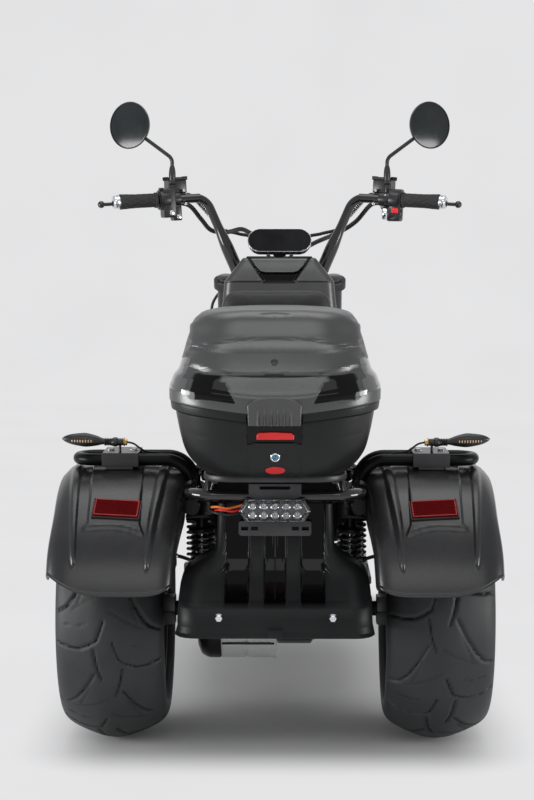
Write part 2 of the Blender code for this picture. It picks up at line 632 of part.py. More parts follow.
def luggage_rack():
    """Carrier under the top case: rear cross tube, two posts, front hoop and plate."""
    level, reach = REAR_RAIL_Z + 0.035, -0.212
    leg_rear = -FENDER_RAIL_BACK - RACK_TUBE - GAP
    hoop_ahead = 2 * RACK_TUBE + 0.003 - FENDER_RAIL_FORE
    half = FRAME_HALF
    cross = bent([at(-half, leg_rear, level), at(-half, reach, level), at(0, reach - 0.010, level),
                  at(half, reach, level), at(half, leg_rear, level)], [0.050, 0.9, 0.050])
    foot = REAR_RAIL_Z + TUBE_RADIUS + GAP
    plate_top = CASE_BOTTOM - GAP
    crown = CASE_BOTTOM - 0.0205
    hoop = bent([at(-half, hoop_ahead, foot), at(-half, hoop_ahead, crown), at(half, hoop_ahead, crown),
                 at(half, hoop_ahead, foot)], [0.020, 0.020])
    outline = round_rect(CASE_HALF - 0.068, 0.083 - CASE_REAR, 0.030, 0.060, 0.030, 3)
    plate = skin([[at(x, y, z) for x, y in outline] for z in (plate_top - 0.012, plate_top)])
    shapes = [plate, tube(hoop, RACK_TUBE, 2), tube(cross, RACK_TUBE, 2)]
    for _, side in SIDES:
        brace = side * (CASE_HALF - 0.082)
        ends = [at(brace, -0.200, plate_top - 0.006), at(brace + side * 0.010, -0.2125, level)]
        shapes.append(tube(ends, 0.009))
    return weld("luggage_rack", shapes, PAINT)


def fender_rail(name, side):
    """Hairpin tube over a fender, with both legs standing on the frame rail."""
    foot = REAR_RAIL_Z + TUBE_RADIUS + GAP
    near, far, level = -FENDER_RAIL_BACK, -FENDER_RAIL_FORE, FENDER_RAIL_Z
    end = FENDER_OUT - 0.029 - RACK_TUBE
    turn = 0.48 * (far - near)
    corners = [at(side * x, y, z) for x, y, z in (
        (FRAME_HALF, near, foot), (FRAME_HALF, near, level), (end, near, level),
        (end, far, level), (FRAME_HALF, far, level), (FRAME_HALF, far, foot))]
    return piece(name, tube(bent(corners, [0.050, turn, turn, 0.050]), RACK_TUBE, 2), PAINT)


# ---------------------------------------------------------------- rear bodywork
def fender_columns():
    """Section across a rear fender: distance from the middle plane, and height over its arc."""
    a, b = FENDER_IN, FENDER_OUT
    return [(a + 0.002, -0.042), (a, -0.015), (a + 0.012, -0.002), (a + 0.070, 0.0), (a + 0.075, 0.003),
            (b - 0.076, 0.003), (b - 0.071, 0.0), (b - 0.018, -0.001), (b - 0.002, -0.015), (b, -0.055)]


def fender_point(x, rise, share):
    """Point on a fender: share runs from its rear edge (0) over the top to its front edge (1)."""
    middle = (FENDER_IN + FENDER_OUT) / 2
    lift = 9.0 * abs((x - middle) / (FENDER_OUT - middle)) ** 3
    radius = FENDER_RADIUS + rise
    if share < 0.6:
        angle = math.radians(180 - (16 + lift) - (74 - lift) * share / 0.6)
        centre = -FENDER_SHIFT
    else:
        angle = math.radians(90 - 52 * (share - 0.6) / 0.4)
        centre = 0.020 if share > 0.6 else -FENDER_SHIFT
    return x, centre + radius * math.cos(angle), AXLE_Z + radius * math.sin(angle)


def fender(name, side):
    """Rear fender: a pressed sheet with a raised middle panel."""
    shares = [0.6 * k / 7 for k in range(8)] + [0.6 + 0.4 * k / 4 for k in range(1, 5)]
    rows = []
    for share in shares:
        line = [fender_point(x, rise, share) for x, rise in fender_columns()]
        rows.append([at(side * x, y, z) for x, y, z in line])
    skin_out = outward(sheet(rows), at(side * TRACK / 2, 0, AXLE_Z))
    return wall(piece(name, skin_out, PAINT), FENDER_WALL)


def outward(bm, centre):
    """Turns an open sheet's faces away from the centre."""
    bmesh.ops.recalc_face_normals(bm, faces=bm.faces)
    bm.faces.ensure_lookup_table()
    middle = bm.faces[len(bm.faces) // 2]
    if middle.normal.dot(middle.calc_center_median() - centre) < 0:
        bmesh.ops.reverse_faces(bm, faces=bm.faces)
    return bm


def reflector(name, side):
    """Red reflector in its frame, lying on the fender's middle panel."""
    angle = math.radians(180 - 51.3)
    away = Vector((0, math.cos(angle), math.sin(angle)))
    middle = at(side * (TRACK / 2 - 0.0175), -FENDER_SHIFT, AXLE_Z) + away * (FENDER_RADIUS + 0.003 + GAP)
    up = Vector((0, -away.z, away.y)) * -1
    local = Matrix((Vector((1, 0, 0)), up, away)).transposed().to_4x4()
    local = Matrix.Translation(middle) @ local @ Matrix.Rotation(side * math.radians(4), 4, "Z")
    rings = []
    for z, cut in ((0.0, 0.0), (0.006, 0.0), (0.009, 0.003)):
        outline = round_rect(0.045 - cut, -0.0235 + cut, 0.0235 - cut, 0.003, 0.003, 2)
        rings.append([local @ Vector((x, y, z)) for x, y in outline])
    return piece(name, skin(rings), RED)


def rear_indicator(name, side):
    """Turn signal on its stud, and the clamp plate that holds it and the fender's foot."""
    top = FENDER_RAIL_Z + RACK_TUBE + GAP
    fender_top = AXLE_Z + FENDER_RADIUS + 0.003 + GAP
    near = TRACK / 2 - 0.012
    rear = -FENDER_RAIL_BACK
    rim = RACK_TUBE + 0.009
    inside = RACK_TUBE + 0.0035
    plate = box(at(side * (near - 0.0365), rear - rim, top),
                at(side * (near + 0.033), rim - FENDER_RAIL_FORE, top + 0.003))
    foot = box(at(side * (near - 0.020), rear + inside, fender_top),
               at(side * (near + 0.016), -FENDER_RAIL_FORE - inside, top + 0.0015))
    stud = rod([(0.0, 0.004), (0.024, 0.004)], 8, Matrix.Translation(at(side * near, rear, top + 0.001)))
    # distance out from the stud, half-height, half-depth, height over the plate
    rows = [(-0.008, 0.005, 0.005, 0.0222), (-0.002, 0.0085, 0.0085, 0.0222), (0.016, 0.0085, 0.0085, 0.0222),
            (0.020, 0.006, 0.006, 0.0232), (0.032, 0.006, 0.007, 0.0242), (0.0655, 0.0135, 0.012, 0.0262),
            (0.092, 0.009, 0.010, 0.0277), (0.110, 0.002, 0.003, 0.0287)]
    rings = []
    for out, half_z, half_y, over in rows:
        turns = [2 * math.pi * k / 8 for k in range(8)]
        rings.append([at(side * (near + out), rear + half_y * math.cos(t), top + over + half_z * math.sin(t))
                      for t in turns])
    return weld(name, [plate, foot, stud, skin(rings)], PLASTIC)


COVER_COLUMNS = (0.0, 0.0185, 0.0235, 0.0440, 0.0490, 0.0920, 0.0970)
COVER_WALL = 0.0035


def cover_half(half, rear, deep, inset):
    """Right half of the cover's section, from its middle to its front edge, moved into the wall by inset."""
    corner = 0.030 if half < 0.13 else 0.042
    stretch = min(1.0, (half - corner) / COVER_COLUMNS[-1])
    points = []
    for x in COVER_COLUMNS:
        channel = x < 0.02 or 0.045 < x < 0.095
        points.append((x * stretch, rear + inset + (deep if channel else 0.0)))
    for k in range(1, 4):
        angle = math.radians(90 * k / 3)
        points.append((half - corner + (corner - inset) * math.sin(angle),
                       rear + corner - (corner - inset) * math.cos(angle)))
    points.append((half - inset, -0.140 if half > 0.13 else -0.165))
    return points


def rear_cover():
    """Moulded cover behind the drive, with three recessed channels, shoulders and a bottom lip."""
    # height, half-width, rear face, channel depth
    rows = [(0.254, 0.183, -0.318, 0.000), (0.266, 0.176, -0.309, 0.000), (0.272, 0.179, -0.312, 0.000),
            (0.306, 0.178, -0.304, 0.000), (0.318, 0.177, -0.286, 0.006), (0.350, 0.172, -0.259, 0.006),
            (0.384, 0.131, -0.240, 0.006), (0.402, 0.111, -0.236, 0.006), (0.486, 0.106, -0.226, 0.006)]
    rings = []
    for z, half, rear, deep in rows:
        ring = []
        for inset in (0.0, COVER_WALL):
            right = cover_half(half, rear, deep, inset)
            run = [(-x, y) for x, y in reversed(right[1:])] + right
            ring += run if inset == 0.0 else run[::-1]
        rings.append([at(x, y, z) for x, y in ring])
    return piece("rear_cover", skin(rings), PLASTIC)


def tail_light():
    """Long six-sided lamp."""
    level = REAR_RAIL_Z + 0.0155
    local = Matrix.Translation(at(0, PLATE_BACK - 0.0033, level)) @ Matrix.Rotation(math.pi / 2, 4, "X")
    rings = []
    for depth, cut in ((0.0, 0.004), (0.006, 0.0), (0.022, 0.0), (0.030, 0.004)):
        tip, shoulder, top = 0.0655 - cut, 0.054 - cut, 0.020 - cut
        outline = [(tip, 0.0), (shoulder, top), (-shoulder, top), (-tip, 0.0), (-shoulder, -top),
                   (shoulder, -top)]
        rings.append([local @ Vector((x, y, depth)) for x, y in outline])
    return piece("tail_light", skin(rings), LENS)


def plate_bracket():
    """Flat bracket from the cross tube down behind the lamp to the slotted plate strip."""
    local = Matrix.Translation(at(0, PLATE_BACK, 0.0)) @ Matrix.Rotation(math.pi / 2, 4, "X")
    low, step, wide, top = (REAR_RAIL_Z + rise for rise in (-0.015, 0.035, 0.039, 0.062))
    neck, ear = 0.036, 0.048
    outline = [(-neck, low), (neck, low), (neck, step), (ear, wide), (ear, top), (-ear, top),
               (-ear, wide), (-neck, step)]
    strip = round_rect(PLATE_HALF, REAR_RAIL_Z - 0.033, REAR_RAIL_Z - 0.006, 0.005, 0.005, 3)
    tab = box(at(-ear, -0.2590, REAR_RAIL_Z + 0.0468), at(ear, -0.214, REAR_RAIL_Z + 0.0496))
    shapes = [prism(outline, 0.0, 0.003, local), prism(strip, 0.0, PLATE_THICK, local), tab]
    front, back = PLATE_BACK + 0.0072, PLATE_BACK - 0.0128
    slot, half = REAR_RAIL_Z - 0.023, 0.0065
    cuts = []
    for _, side in SIDES:
        for middle in (0.0375, 0.0555):
            x = side * middle
            cuts.append(box(at(x - half, back, slot), at(x + half, front, slot + 0.007)))
    cuts.append(box(at(-0.028, back, REAR_RAIL_Z + 0.052), at(0.028, front, REAR_RAIL_Z + 0.058)))
    return weld("plate_bracket", shapes, STEEL, cuts)


# ---------------------------------------------------------------- top case
def case_rings(rows):
    """Rounded rectangles of the case, from rows of height, half-width, rear, front, rear corner."""
    rings = []
    for z, half, rear, front, corner in rows:
        rings.append([at(x, y, z) for x, y in round_rect(half, rear, front, corner, min(corner, 0.060), 3)])
    return rings


def shell_of(rows, drop):
    """Open shell: the outer rings, then the same rings moved in by the wall and up or down by drop."""
    inner = []
    for k, (z, half, rear, front, corner) in enumerate(rows):
        w = CASE_WALL
        shift = 0.0 if k == len(rows) - 1 else drop
        inner.append((z + shift, half - w, rear + w, front - w, corner - w))
    return skin(case_rings(rows) + case_rings(list(reversed(inner))))


def case_base():
    """Lower half of the top case: a bowl with a rim, and the lock's housing with its recess."""
    rear, front, half, low = -CASE_REAR, CASE_FRONT, CASE_HALF, CASE_BOTTOM
    # height, half-width, rear, front, corner
    rows = [(low, half - 0.105, rear + 0.068, front - 0.055, 0.060),
            (low + 0.004, half - 0.072, rear + 0.050, front - 0.041, 0.070),
            (low + 0.022, half - 0.047, rear + 0.034, front - 0.027, 0.080),
            (low + 0.045, half - 0.030, rear + 0.022, front - 0.015, 0.088),
            (low + 0.073, half - 0.019, rear + 0.014, front - 0.007, 0.092),
            (low + 0.097, half - 0.013, rear + 0.010, front - 0.003, 0.094),
            (low + 0.105, half - 0.004, rear + 0.002, front - 0.001, 0.098),
            (CASE_SEAM - GAP, half - 0.002, rear + 0.001, front, 0.098)]
    obj = piece("case_base", shell_of(rows, CASE_WALL), PLASTIC)
    housing = box(at(-0.060, rear + 0.016, low + 0.011), at(0.060, rear + 0.036, CASE_SEAM - 0.009))
    combine(obj, housing, "UNION")
    recess = box(at(-0.049, rear - 0.032, low + 0.069), at(0.049, rear + 0.026, CASE_SEAM + 0.036))
    return combine(obj, recess, "DIFFERENCE")


def case_lid():
    """Upper half of the top case: a domed shell with a rim."""
    rear, front, half, top, seam = -CASE_REAR, CASE_FRONT, CASE_HALF, CASE_TOP, CASE_SEAM
    # height, half-width, rear, front, corner
    rows = [(top, half - 0.140, rear + 0.118, front - 0.065, 0.050),
            (top - 0.004, half - 0.090, rear + 0.083, front - 0.037, 0.070),
            (top - 0.016, half - 0.052, rear + 0.063, front - 0.019, 0.080),
            (seam + 0.134, half - 0.038, rear + 0.050, front - 0.011, 0.086),
            (seam + 0.106, half - 0.029, rear + 0.032, front - 0.006, 0.090),
            (seam + 0.074, half - 0.018, rear + 0.016, front - 0.002, 0.094),
            (seam + 0.034, half - 0.003, rear + 0.004, front, 0.097),
            (seam + 0.026, half, rear, front, 0.100),
            (seam, half, rear, front, 0.100)]
    return piece("case_lid", shell_of(rows, -CASE_WALL), PLASTIC)


def backrest_pad():
    """Cushion on the front of the lid, for the passenger's back."""
    low, high, half = CASE_SEAM + 0.076, CASE_TOP + 0.026, 0.107
    rings = []
    for ahead, cut in ((0.0055, 0.006), (0.020, 0.0), (0.042, 0.002), (0.052, 0.016)):
        outline = round_rect(half - cut, low + cut, high - cut, 0.026, 0.034, 4)
        rings.append([at(x, CASE_FRONT + ahead, z) for x, z in outline])
    return piece("backrest_pad", skin(rings), LEATHER)


def case_latch():
    """Latch tongue on the lid's rear rim, arched at the top and toothed where the fingers grip."""
    back = -CASE_REAR - GAP
    local = Matrix.Translation(at(0, back, 0.0)) @ Matrix.Rotation(math.pi / 2, 4, "X")
    half, foot, spring, rise = 0.0485, CASE_SEAM - 0.017, CASE_SEAM + 0.012, 0.018
    outline = [(-half, foot), (half, foot), (half, spring)]
    for k in range(1, 8):
        angle = math.radians(180 * k / 8)
        outline.append((half * math.cos(angle), spring + rise * math.sin(angle)))
    outline.append((-half, spring))
    obj = piece("case_latch", prism(outline, 0.0, LATCH_THICK - GAP, local), PLASTIC)
    for k in range(7):
        x = -0.036 + 0.012 * k
        notch = box(at(x - 0.0032, back - LATCH_THICK - 0.01, CASE_SEAM - 0.024),
                    at(x + 0.0032, back - 0.0045, CASE_SEAM + 0.002))
        combine(obj, notch, "DIFFERENCE")
    return obj


# ---------------------------------------------------------------- front end
def yoke_outline(eye):
    """Outline of a fork yoke in the steering axis's frame: eyes round both legs, narrow at the stem."""
    points = []
    for side, start in ((1, -60), (-1, 90)):
        for k in range(6):
            angle = math.radians(start + 30 * k)
            points.append((side * FORK_HALF + eye * math.cos(angle), FORK_OFFSET + eye * math.sin(angle)))
    return points + [(-0.042, -0.030), (-0.026, -0.038), (0.026, -0.038), (0.042, -0.030)]


def fork():
    """Two telescopic legs, the lower yoke and the steering stem."""
    along = frame_on(AXIS_FOOT, AXIS)
    stem = rod([(LOWER_YOKE + 0.004, STEM_RADIUS), (UPPER_YOKE + YOKE_THICK + 0.004, STEM_RADIUS)], 16, along)
    yoke = prism(yoke_outline(YOKE_EYE + 0.002), LOWER_YOKE, LOWER_YOKE + YOKE_THICK, along)
    shapes = [yoke, stem]
    for _, side in SIDES:
        line = frame_on(steer(side * FORK_HALF, FORK_OFFSET, 0.0), AXIS)
        top = UPPER_YOKE + YOKE_THICK + 0.006
        profile = [(-0.038, 0.018), (-0.030, 0.024), (0.300, SLIDER_RADIUS), (0.308, SLIDER_RADIUS),
                   (0.312, STANCHION_RADIUS), (top, STANCHION_RADIUS)]
        shapes.append(rod(profile, LEG_FACETS, line))
    bore = rod([(-0.20, 0.0110), (0.20, 0.0110)], 16, Matrix.Translation(FRONT_AXLE) @ ALONG_X)
    return weld("fork", shapes, PAINT, [bore])


def upper_yoke():
    """Top clamp of the fork with the two handlebar clamps on it."""
    along = frame_on(AXIS_FOOT, AXIS)
    shapes = [prism(yoke_outline(YOKE_EYE), UPPER_YOKE, UPPER_YOKE + YOKE_THICK, along)]
    cuts = []
    for _, side in SIDES:
        clamp = round_rect(0.014, -0.024, 0.024, 0.004, 0.004, 1)
        clamp = [(x + side * 0.045, y) for x, y in clamp]
        shapes.append(prism(clamp, UPPER_YOKE + YOKE_THICK - 0.002, BAR_HEIGHT + BAR_RADIUS + 0.008, along))
        leg = frame_on(steer(side * FORK_HALF, FORK_OFFSET, 0.0), AXIS)
        cuts.append(rod([(0.6, STANCHION_RADIUS + GAP), (0.8, STANCHION_RADIUS + GAP)], LEG_FACETS, leg))
    cuts.append(rod([(0.6, STEM_RADIUS + GAP), (0.8, STEM_RADIUS + GAP)], 16, frame_on(AXIS_FOOT, AXIS)))
    bar = tube([steer(-0.09, 0, BAR_HEIGHT), steer(0.09, 0, BAR_HEIGHT)], BAR_RADIUS + 0.0013, 3)
    return weld("upper_yoke", shapes, BLACK_ALLOY, cuts + [bar])


def bar_line(side):
    """Corners of one half of the handlebar, from its clamp to its end."""
    middle = steer(0, 0, BAR_HEIGHT)
    foot = Vector((side * BAR_FOOT_HALF, middle.y, middle.z))
    top = fore(side * BAR_TOP_HALF, 0.325, BAR_TOP)
    end = fore(side * BAR_END_HALF, 0.406, BAR_TOP - 0.012)
    return middle, foot, top, end


def handlebar():
    """High handlebar in one tapering tube."""
    _, foot_r, top_r, end_r = bar_line(1)
    _, foot_l, top_l, end_l = bar_line(-1)
    path = bent([end_l, top_l, foot_l, foot_r, top_r, end_r], [0.040, 0.030, 0.030, 0.040])
    neck_l = bar_frame(-1, BAR_NECK_HALF).translation
    neck_r = bar_frame(1, BAR_NECK_HALF).translation
    path = [end_l, neck_l] + path[1:-1] + [neck_r, end_r]
    widths = [BAR_END_RADIUS] * 2 + [BAR_RADIUS] * (len(path) - 4) + [BAR_END_RADIUS] * 2
    return piece("handlebar", tube(path, BAR_RADIUS, 2, widths), PAINT)


def bar_frame(side, out):
    """Frame on the handlebar's end run, at a distance from the middle plane, Z pointing outward."""
    _, _, top, end = bar_line(side)
    way = (end - top).normalized()
    share = (out - abs(top.x)) / (abs(end.x) - abs(top.x))
    x_axis = Vector((0, 0, 1)).cross(way).normalized()
    y_axis = way.cross(x_axis)
    turn = Matrix((x_axis, y_axis, way)).transposed().to_4x4()
    return Matrix.Translation(top + (end - top) * share) @ turn


def grip(name, side):
    """Rubber grip with a flange at its inner end and a bar-end weight."""
    bore = BAR_END_RADIUS + GRIP_GAP
    profile = [(0.0, bore), (0.0, 0.019), (0.004, 0.019), (0.006, 0.0165), (0.088, 0.0165), (0.094, 0.0135),
               (0.094, bore)]
    return piece(name, lathe(profile, 12, bar_frame(side, 0.300)), RUBBER)


def control(name, side):
    """Brake master cylinder, lever and switch pod, clamped to the handlebar inside the grip."""
    here = bar_frame(side, CONTROL_OUT)
    bore = BAR_END_RADIUS + GRIP_GAP
    pod = lathe([(-0.046, bore), (-0.046, 0.021), (-0.016, 0.021), (-0.016, bore)], 12, here)
    clamp = lathe([(-0.018, bore), (-0.018, 0.017), (0.010, 0.017), (0.010, bore)], 12, here)
    near, far = sorted((side * 0.0125, side * 0.046))
    body = box((near, -0.010, -0.040), (far, 0.026, 0.004), here)
    # lever: ahead of the bar, down, and outward along it
    knots = [(0.030, 0.004, -0.020), (0.046, 0.002, 0.030), (0.052, -0.002, 0.100), (0.050, -0.004, 0.160)]
    lever = tube([here @ Vector((side * x, y, z)) for x, y, z in knots], 0.0045, 1)
    ball = bmesh.new()
    tip = here @ Matrix.Translation((side * 0.050, -0.004, 0.163))
    bmesh.ops.create_icosphere(ball, subdivisions=1, radius=0.008, matrix=tip)
    return weld(name, [pod, clamp, body, lever, ball], PLASTIC)


def mirror(name, side):
    """Round mirror on its bent stalk, screwed into the control clamp."""
    base = fore(side * 0.262, 0.353, BAR_TOP + 0.030)
    head = fore(side * 0.362, 0.365, BAR_TOP + 0.174)
    bends = [fore(side * 0.262, 0.353, BAR_TOP + 0.095), fore(side * 0.328, 0.360, BAR_TOP + 0.144)]
    path = bent([base, *bends, head], [0.02, 0.03])
    stalk = tube(path, 0.0045, 2)
    boot = rod([(0.0, 0.009), (0.030, 0.008), (0.044, 0.0055)], 10, Matrix.Translation(base))
    turned_in = Matrix.Rotation(side * math.radians(-8), 4, "Z")
    face = Matrix.Translation(head) @ turned_in @ Matrix.Rotation(math.pi / 2, 4, "X")
    disc = rod([(-0.012, 0.030), (-0.007, 0.050), (0.002, 0.057), (0.006, 0.057)], 20, face)
    return weld(name, [disc, stalk, boot], PLASTIC)


def display():
    """Round-ended instrument over the handlebar clamps, on its short stay."""
    centre = fore(0, 0.350, 0.962)
    local = Matrix.Translation(centre) @ Matrix.Rotation(math.radians(90 - 25), 4, "X")
    rings = []
    for depth, cut in ((-0.018, 0.010), (-0.008, 0.0), (0.008, 0.0), (0.012, 0.003)):
        outline = round_rect(0.0775 - cut, -0.031 + cut, 0.031 - cut, 0.0308 - cut, 0.0308 - cut, 5)
        rings.append([local @ Vector((x, y, depth)) for x, y in outline])
    foot = steer(0, 0, BAR_HEIGHT) + Vector((0, 0, BAR_RADIUS + 0.0005))
    stay = []
    for middle, half, thick in ((foot, 0.026, 0.007), ((foot + centre) / 2, 0.015, 0.006),
                                (centre, 0.030, 0.006)):
        stay.append([middle + Vector((x * half, y * thick, 0))
                     for x, y in ((-1, -1), (1, -1), (1, 1), (-1, 1))])
    return weld("display", [skin(rings), skin(stay)], GLOSS)


def headlight():
    """Round headlight in its bucket, on flat ears from the fork legs."""
    centre = Vector((0, steer(0, 0.150, 0.56).y, steer(0, 0.06, 0.56).z))
    forward = Matrix.Translation(centre) @ Matrix.Rotation(-math.pi / 2, 4, "X")
    profile = [(-0.058, 0.026), (-0.050, 0.056), (-0.024, 0.082), (0.026, 0.090), (0.028, 0.094),
               (0.038, 0.094), (0.040, 0.088), (0.052, 0.060), (0.056, 0.020)]
    shapes = [rod(profile, 18, forward)]
    for _, side in SIDES:
        leg = frame_on(steer(side * FORK_HALF, FORK_OFFSET, 0.0), AXIS)
        bore = STANCHION_RADIUS + GAP
        shapes.append(lathe([(0.505, bore), (0.505, 0.028), (0.560, 0.028), (0.560, bore)], LEG_FACETS, leg))
        ear = []
        for out, ahead, low, high in ((FORK_HALF - 0.004, 0.0245, 0.510, 0.555), (0.108, 0.080, 0.520, 0.552),
                                      (0.070, 0.105, 0.530, 0.556)):
            ear.append([steer(side * out + x, FORK_OFFSET + ahead, up)
                        for x, up in ((-0.0025, low), (0.0025, low), (0.0025, high), (-0.0025, high))])
        shapes.append(skin(ear))
    return weld("headlight", shapes, PAINT)


def front_indicators():
    """Front turn signals on one cross stalk, fastened to the lower yoke's front."""
    level, ahead = LOWER_YOKE + YOKE_THICK / 2, FORK_OFFSET + 0.032
    pad = steer(0, ahead + 0.011, level)
    bar = tube([pad + Vector((-0.175, 0, 0)), pad + Vector((0.175, 0, 0))], 0.006, 2)
    foot = box((-0.025, -0.0107, -0.009), (0.025, 0.004, 0.009), frame_on(pad, AXIS))
    shapes = [bar, foot]
    for _, side in SIDES:
        rings = []
        for x, half_z, half_y in ((0.150, 0.006, 0.007), (0.158, 0.008, 0.009), (0.185, 0.0135, 0.012),
                                  (0.205, 0.009, 0.010), (0.222, 0.002, 0.003)):
            turns = [2 * math.pi * k / 10 for k in range(10)]
            rings.append([pad + Vector((side * x, half_y * math.cos(t), half_z * math.sin(t)))
                          for t in turns])
        shapes.append(skin(rings))
    return weld("front_indicators", shapes, PLASTIC)


def front_axle():
    """Front axle through both fork legs, with its head, spacer and nut."""
    across = Matrix.Translation(FRONT_AXLE) @ ALONG_X
    outer = FORK_HALF + SLIDER_RADIUS + GAP
    inner = FORK_HALF - 0.0243 - GAP
    profile = [(-outer - 0.010, 0.014), (-outer, 0.014), (-outer, 0.010), (-inner, 0.010),
               (-inner, SPINDLE_RADIUS),
               (0.0, SPINDLE_RADIUS), (0.074, SPINDLE_RADIUS), (0.074, 0.022), (inner, 0.022), (inner, 0.010),
               (outer, 0.010), (outer, 0.016), (outer + 0.012, 0.016)]
    return piece("front_axle", rod(profile, 12, across), STEEL)


def front_fender():
    """Front mudguard: a rolled sheet between the fork legs, with its two stays."""
    # across: distance from the middle, height over the tyre's tread
    columns = [(-0.100, -0.006), (-0.098, 0.012), (-0.082, 0.027), (-0.045, 0.034), (0.0, 0.036),
               (0.045, 0.034), (0.082, 0.027), (0.098, 0.012), (0.100, -0.006)]
    rows = []
    for k in range(12):
        angle = math.radians(28 + 136 * k / 11)
        away = Vector((0, math.cos(angle), math.sin(angle)))
        rows.append([FRONT_AXLE + Vector((x, 0, 0)) + (TYRE_RADIUS + rise) * away for x, rise in columns])
    obj = wall(piece("front_fender", outward(sheet(rows), FRONT_AXLE), PAINT), 0.003)
    for _, side in SIDES:
        leg = frame_on(steer(side * FORK_HALF, FORK_OFFSET, 0.0), AXIS)
        inner = SLIDER_RADIUS + GAP
        lug = box((-side * inner, -0.022, TYRE_RADIUS - 0.012),
                  (-side * (FORK_HALF - 0.097), 0.022, TYRE_RADIUS + 0.010), leg)
        combine(obj, lug, "UNION")
    return obj


def line_of_caliper():
    """Frame on the front axle whose Z points back to the middle of the caliper."""
    return Matrix.Translation(FRONT_AXLE) @ Matrix.Rotation(RAKE + math.radians(62), 4, "X")


def front_caliper():
    """Front brake caliper over the disc, on its arm from the left fork leg."""
    slot = -DISC_OFFSET
    leg_face = -(FORK_HALF - SLIDER_RADIUS - GAP)
    line = line_of_caliper()
    body = box((slot - 0.018, -0.030, 0.062), (slot + 0.018, 0.030, 0.118), line)
    arm = box((leg_face, -0.012, 0.070), (slot - 0.010, 0.012, 0.100), line)
    gap = box((slot - 0.004, -0.040, 0.050), (slot + 0.004, 0.040, 0.1085), line)
    return weld("front_caliper", [body, arm], ALLOY, [gap])


def brake_hoses():
    """Brake hoses from the master cylinders to the upper yoke's splitter, and on to the front caliper."""
    splitter = box((-0.019, 0.0, -0.010), (0.019, 0.016, 0.014),
                   frame_on(steer(0, FORK_OFFSET + YOKE_EYE + GAP, UPPER_YOKE + YOKE_THICK / 2), AXIS))
    shapes = [splitter]
    for _, side in SIDES:
        here = bar_frame(side, CONTROL_OUT)
        top = steer(side * 0.011, 0.074, UPPER_YOKE + YOKE_THICK / 2)
        knots = [here @ Vector((0.030 * side, 0.008, -0.0424)), here @ Vector((0.031 * side, 0.008, -0.060)),
                 fore(side * 0.160, 0.284, 1.026), fore(side * 0.122, 0.262, 0.985),
                 fore(side * 0.070, 0.245, 0.956), top + 0.036 * AXIS + Vector((side * 0.006, 0, 0)), top]
        shapes.append(tube(smooth_run(knots, 2), HOSE_RADIUS, 2))
    low = line_of_caliper() @ Vector((-DISC_OFFSET - 0.010, 0.0318, 0.088))
    knots = [steer(-0.015, 0.075, 0.664), steer(-0.034, 0.077, 0.662), steer(-0.078, 0.083, 0.658),
             steer(-0.130, 0.080, 0.640), steer(-0.166, 0.062, 0.605),
             steer(-0.1735, 0.045, 0.560), steer(-0.1735, 0.035, 0.500),
             steer(-0.1735, 0.026, 0.440), steer(-0.1690, 0.010, 0.390), steer(-0.1540, -0.002, 0.330),
             steer(-0.1380, -0.002, 0.270), steer(-0.1340, -0.001, 0.200), steer(-0.1320, -0.004, 0.130),
             steer(-0.1200, -0.016, 0.085), low + Vector((-0.008, 0.004, 0.018)), low]
    shapes.append(tube(smooth_run(knots, 2), HOSE_RADIUS, 2))
    return weld("brake_hoses", shapes, RUBBER)


# ---------------------------------------------------------------- assembly
def main():
    """Builds every sub-part and hangs the moving ones on their pivots."""
    for old in list(bpy.data.objects):
        bpy.data.objects.remove(old)

    head_tube()
    floorboard()
    battery_box()
    leg_shield()
    seat_housing()
    seat()
    luggage_rack()
    rear_cover()
    tail_light()
    plate_bracket()
    rear_axle()
    drive_motor()
    swing_arm()
    case_base()
    for word, side in SIDES:
        frame_rail(word + "_frame_rail", side)
        fender_rail(word + "_fender_rail", side)
        fender(word + "_fender", side)
        reflector(word + "_reflector", side)
        rear_indicator(word + "_rear_indicator", side)
        shocks(word + "_shocks", side)
        rear_caliper(word + "_rear_caliper", side)

    lid = pivot("case_lid_hinge", LID_HINGE)
    for part in (case_lid(), backrest_pad(), case_latch()):
        hang(part, lid)

    steering = pivot("steering_axis", AXIS_FOOT)
    for part in (fork(), upper_yoke(), front_axle(), front_fender(), front_caliper(), headlight(),
                 front_indicators(), handlebar(), display(), brake_hoses()):
        hang(part, steering)
    for word, side in SIDES:
        for part in (grip(word + "_grip", side), control(word + "_control", side),
                     mirror(word + "_mirror", side)):
            hang(part, steering)

    wheel("front", FRONT_AXLE, 1, pivot("front_wheel_axis", FRONT_AXLE))
    for word, side in SIDES:
        centre = at(side * TRACK / 2, 0, AXLE_Z)
        wheel(word + "_rear", centre, side, pivot(word + "_rear_wheel_axis", centre))


main()
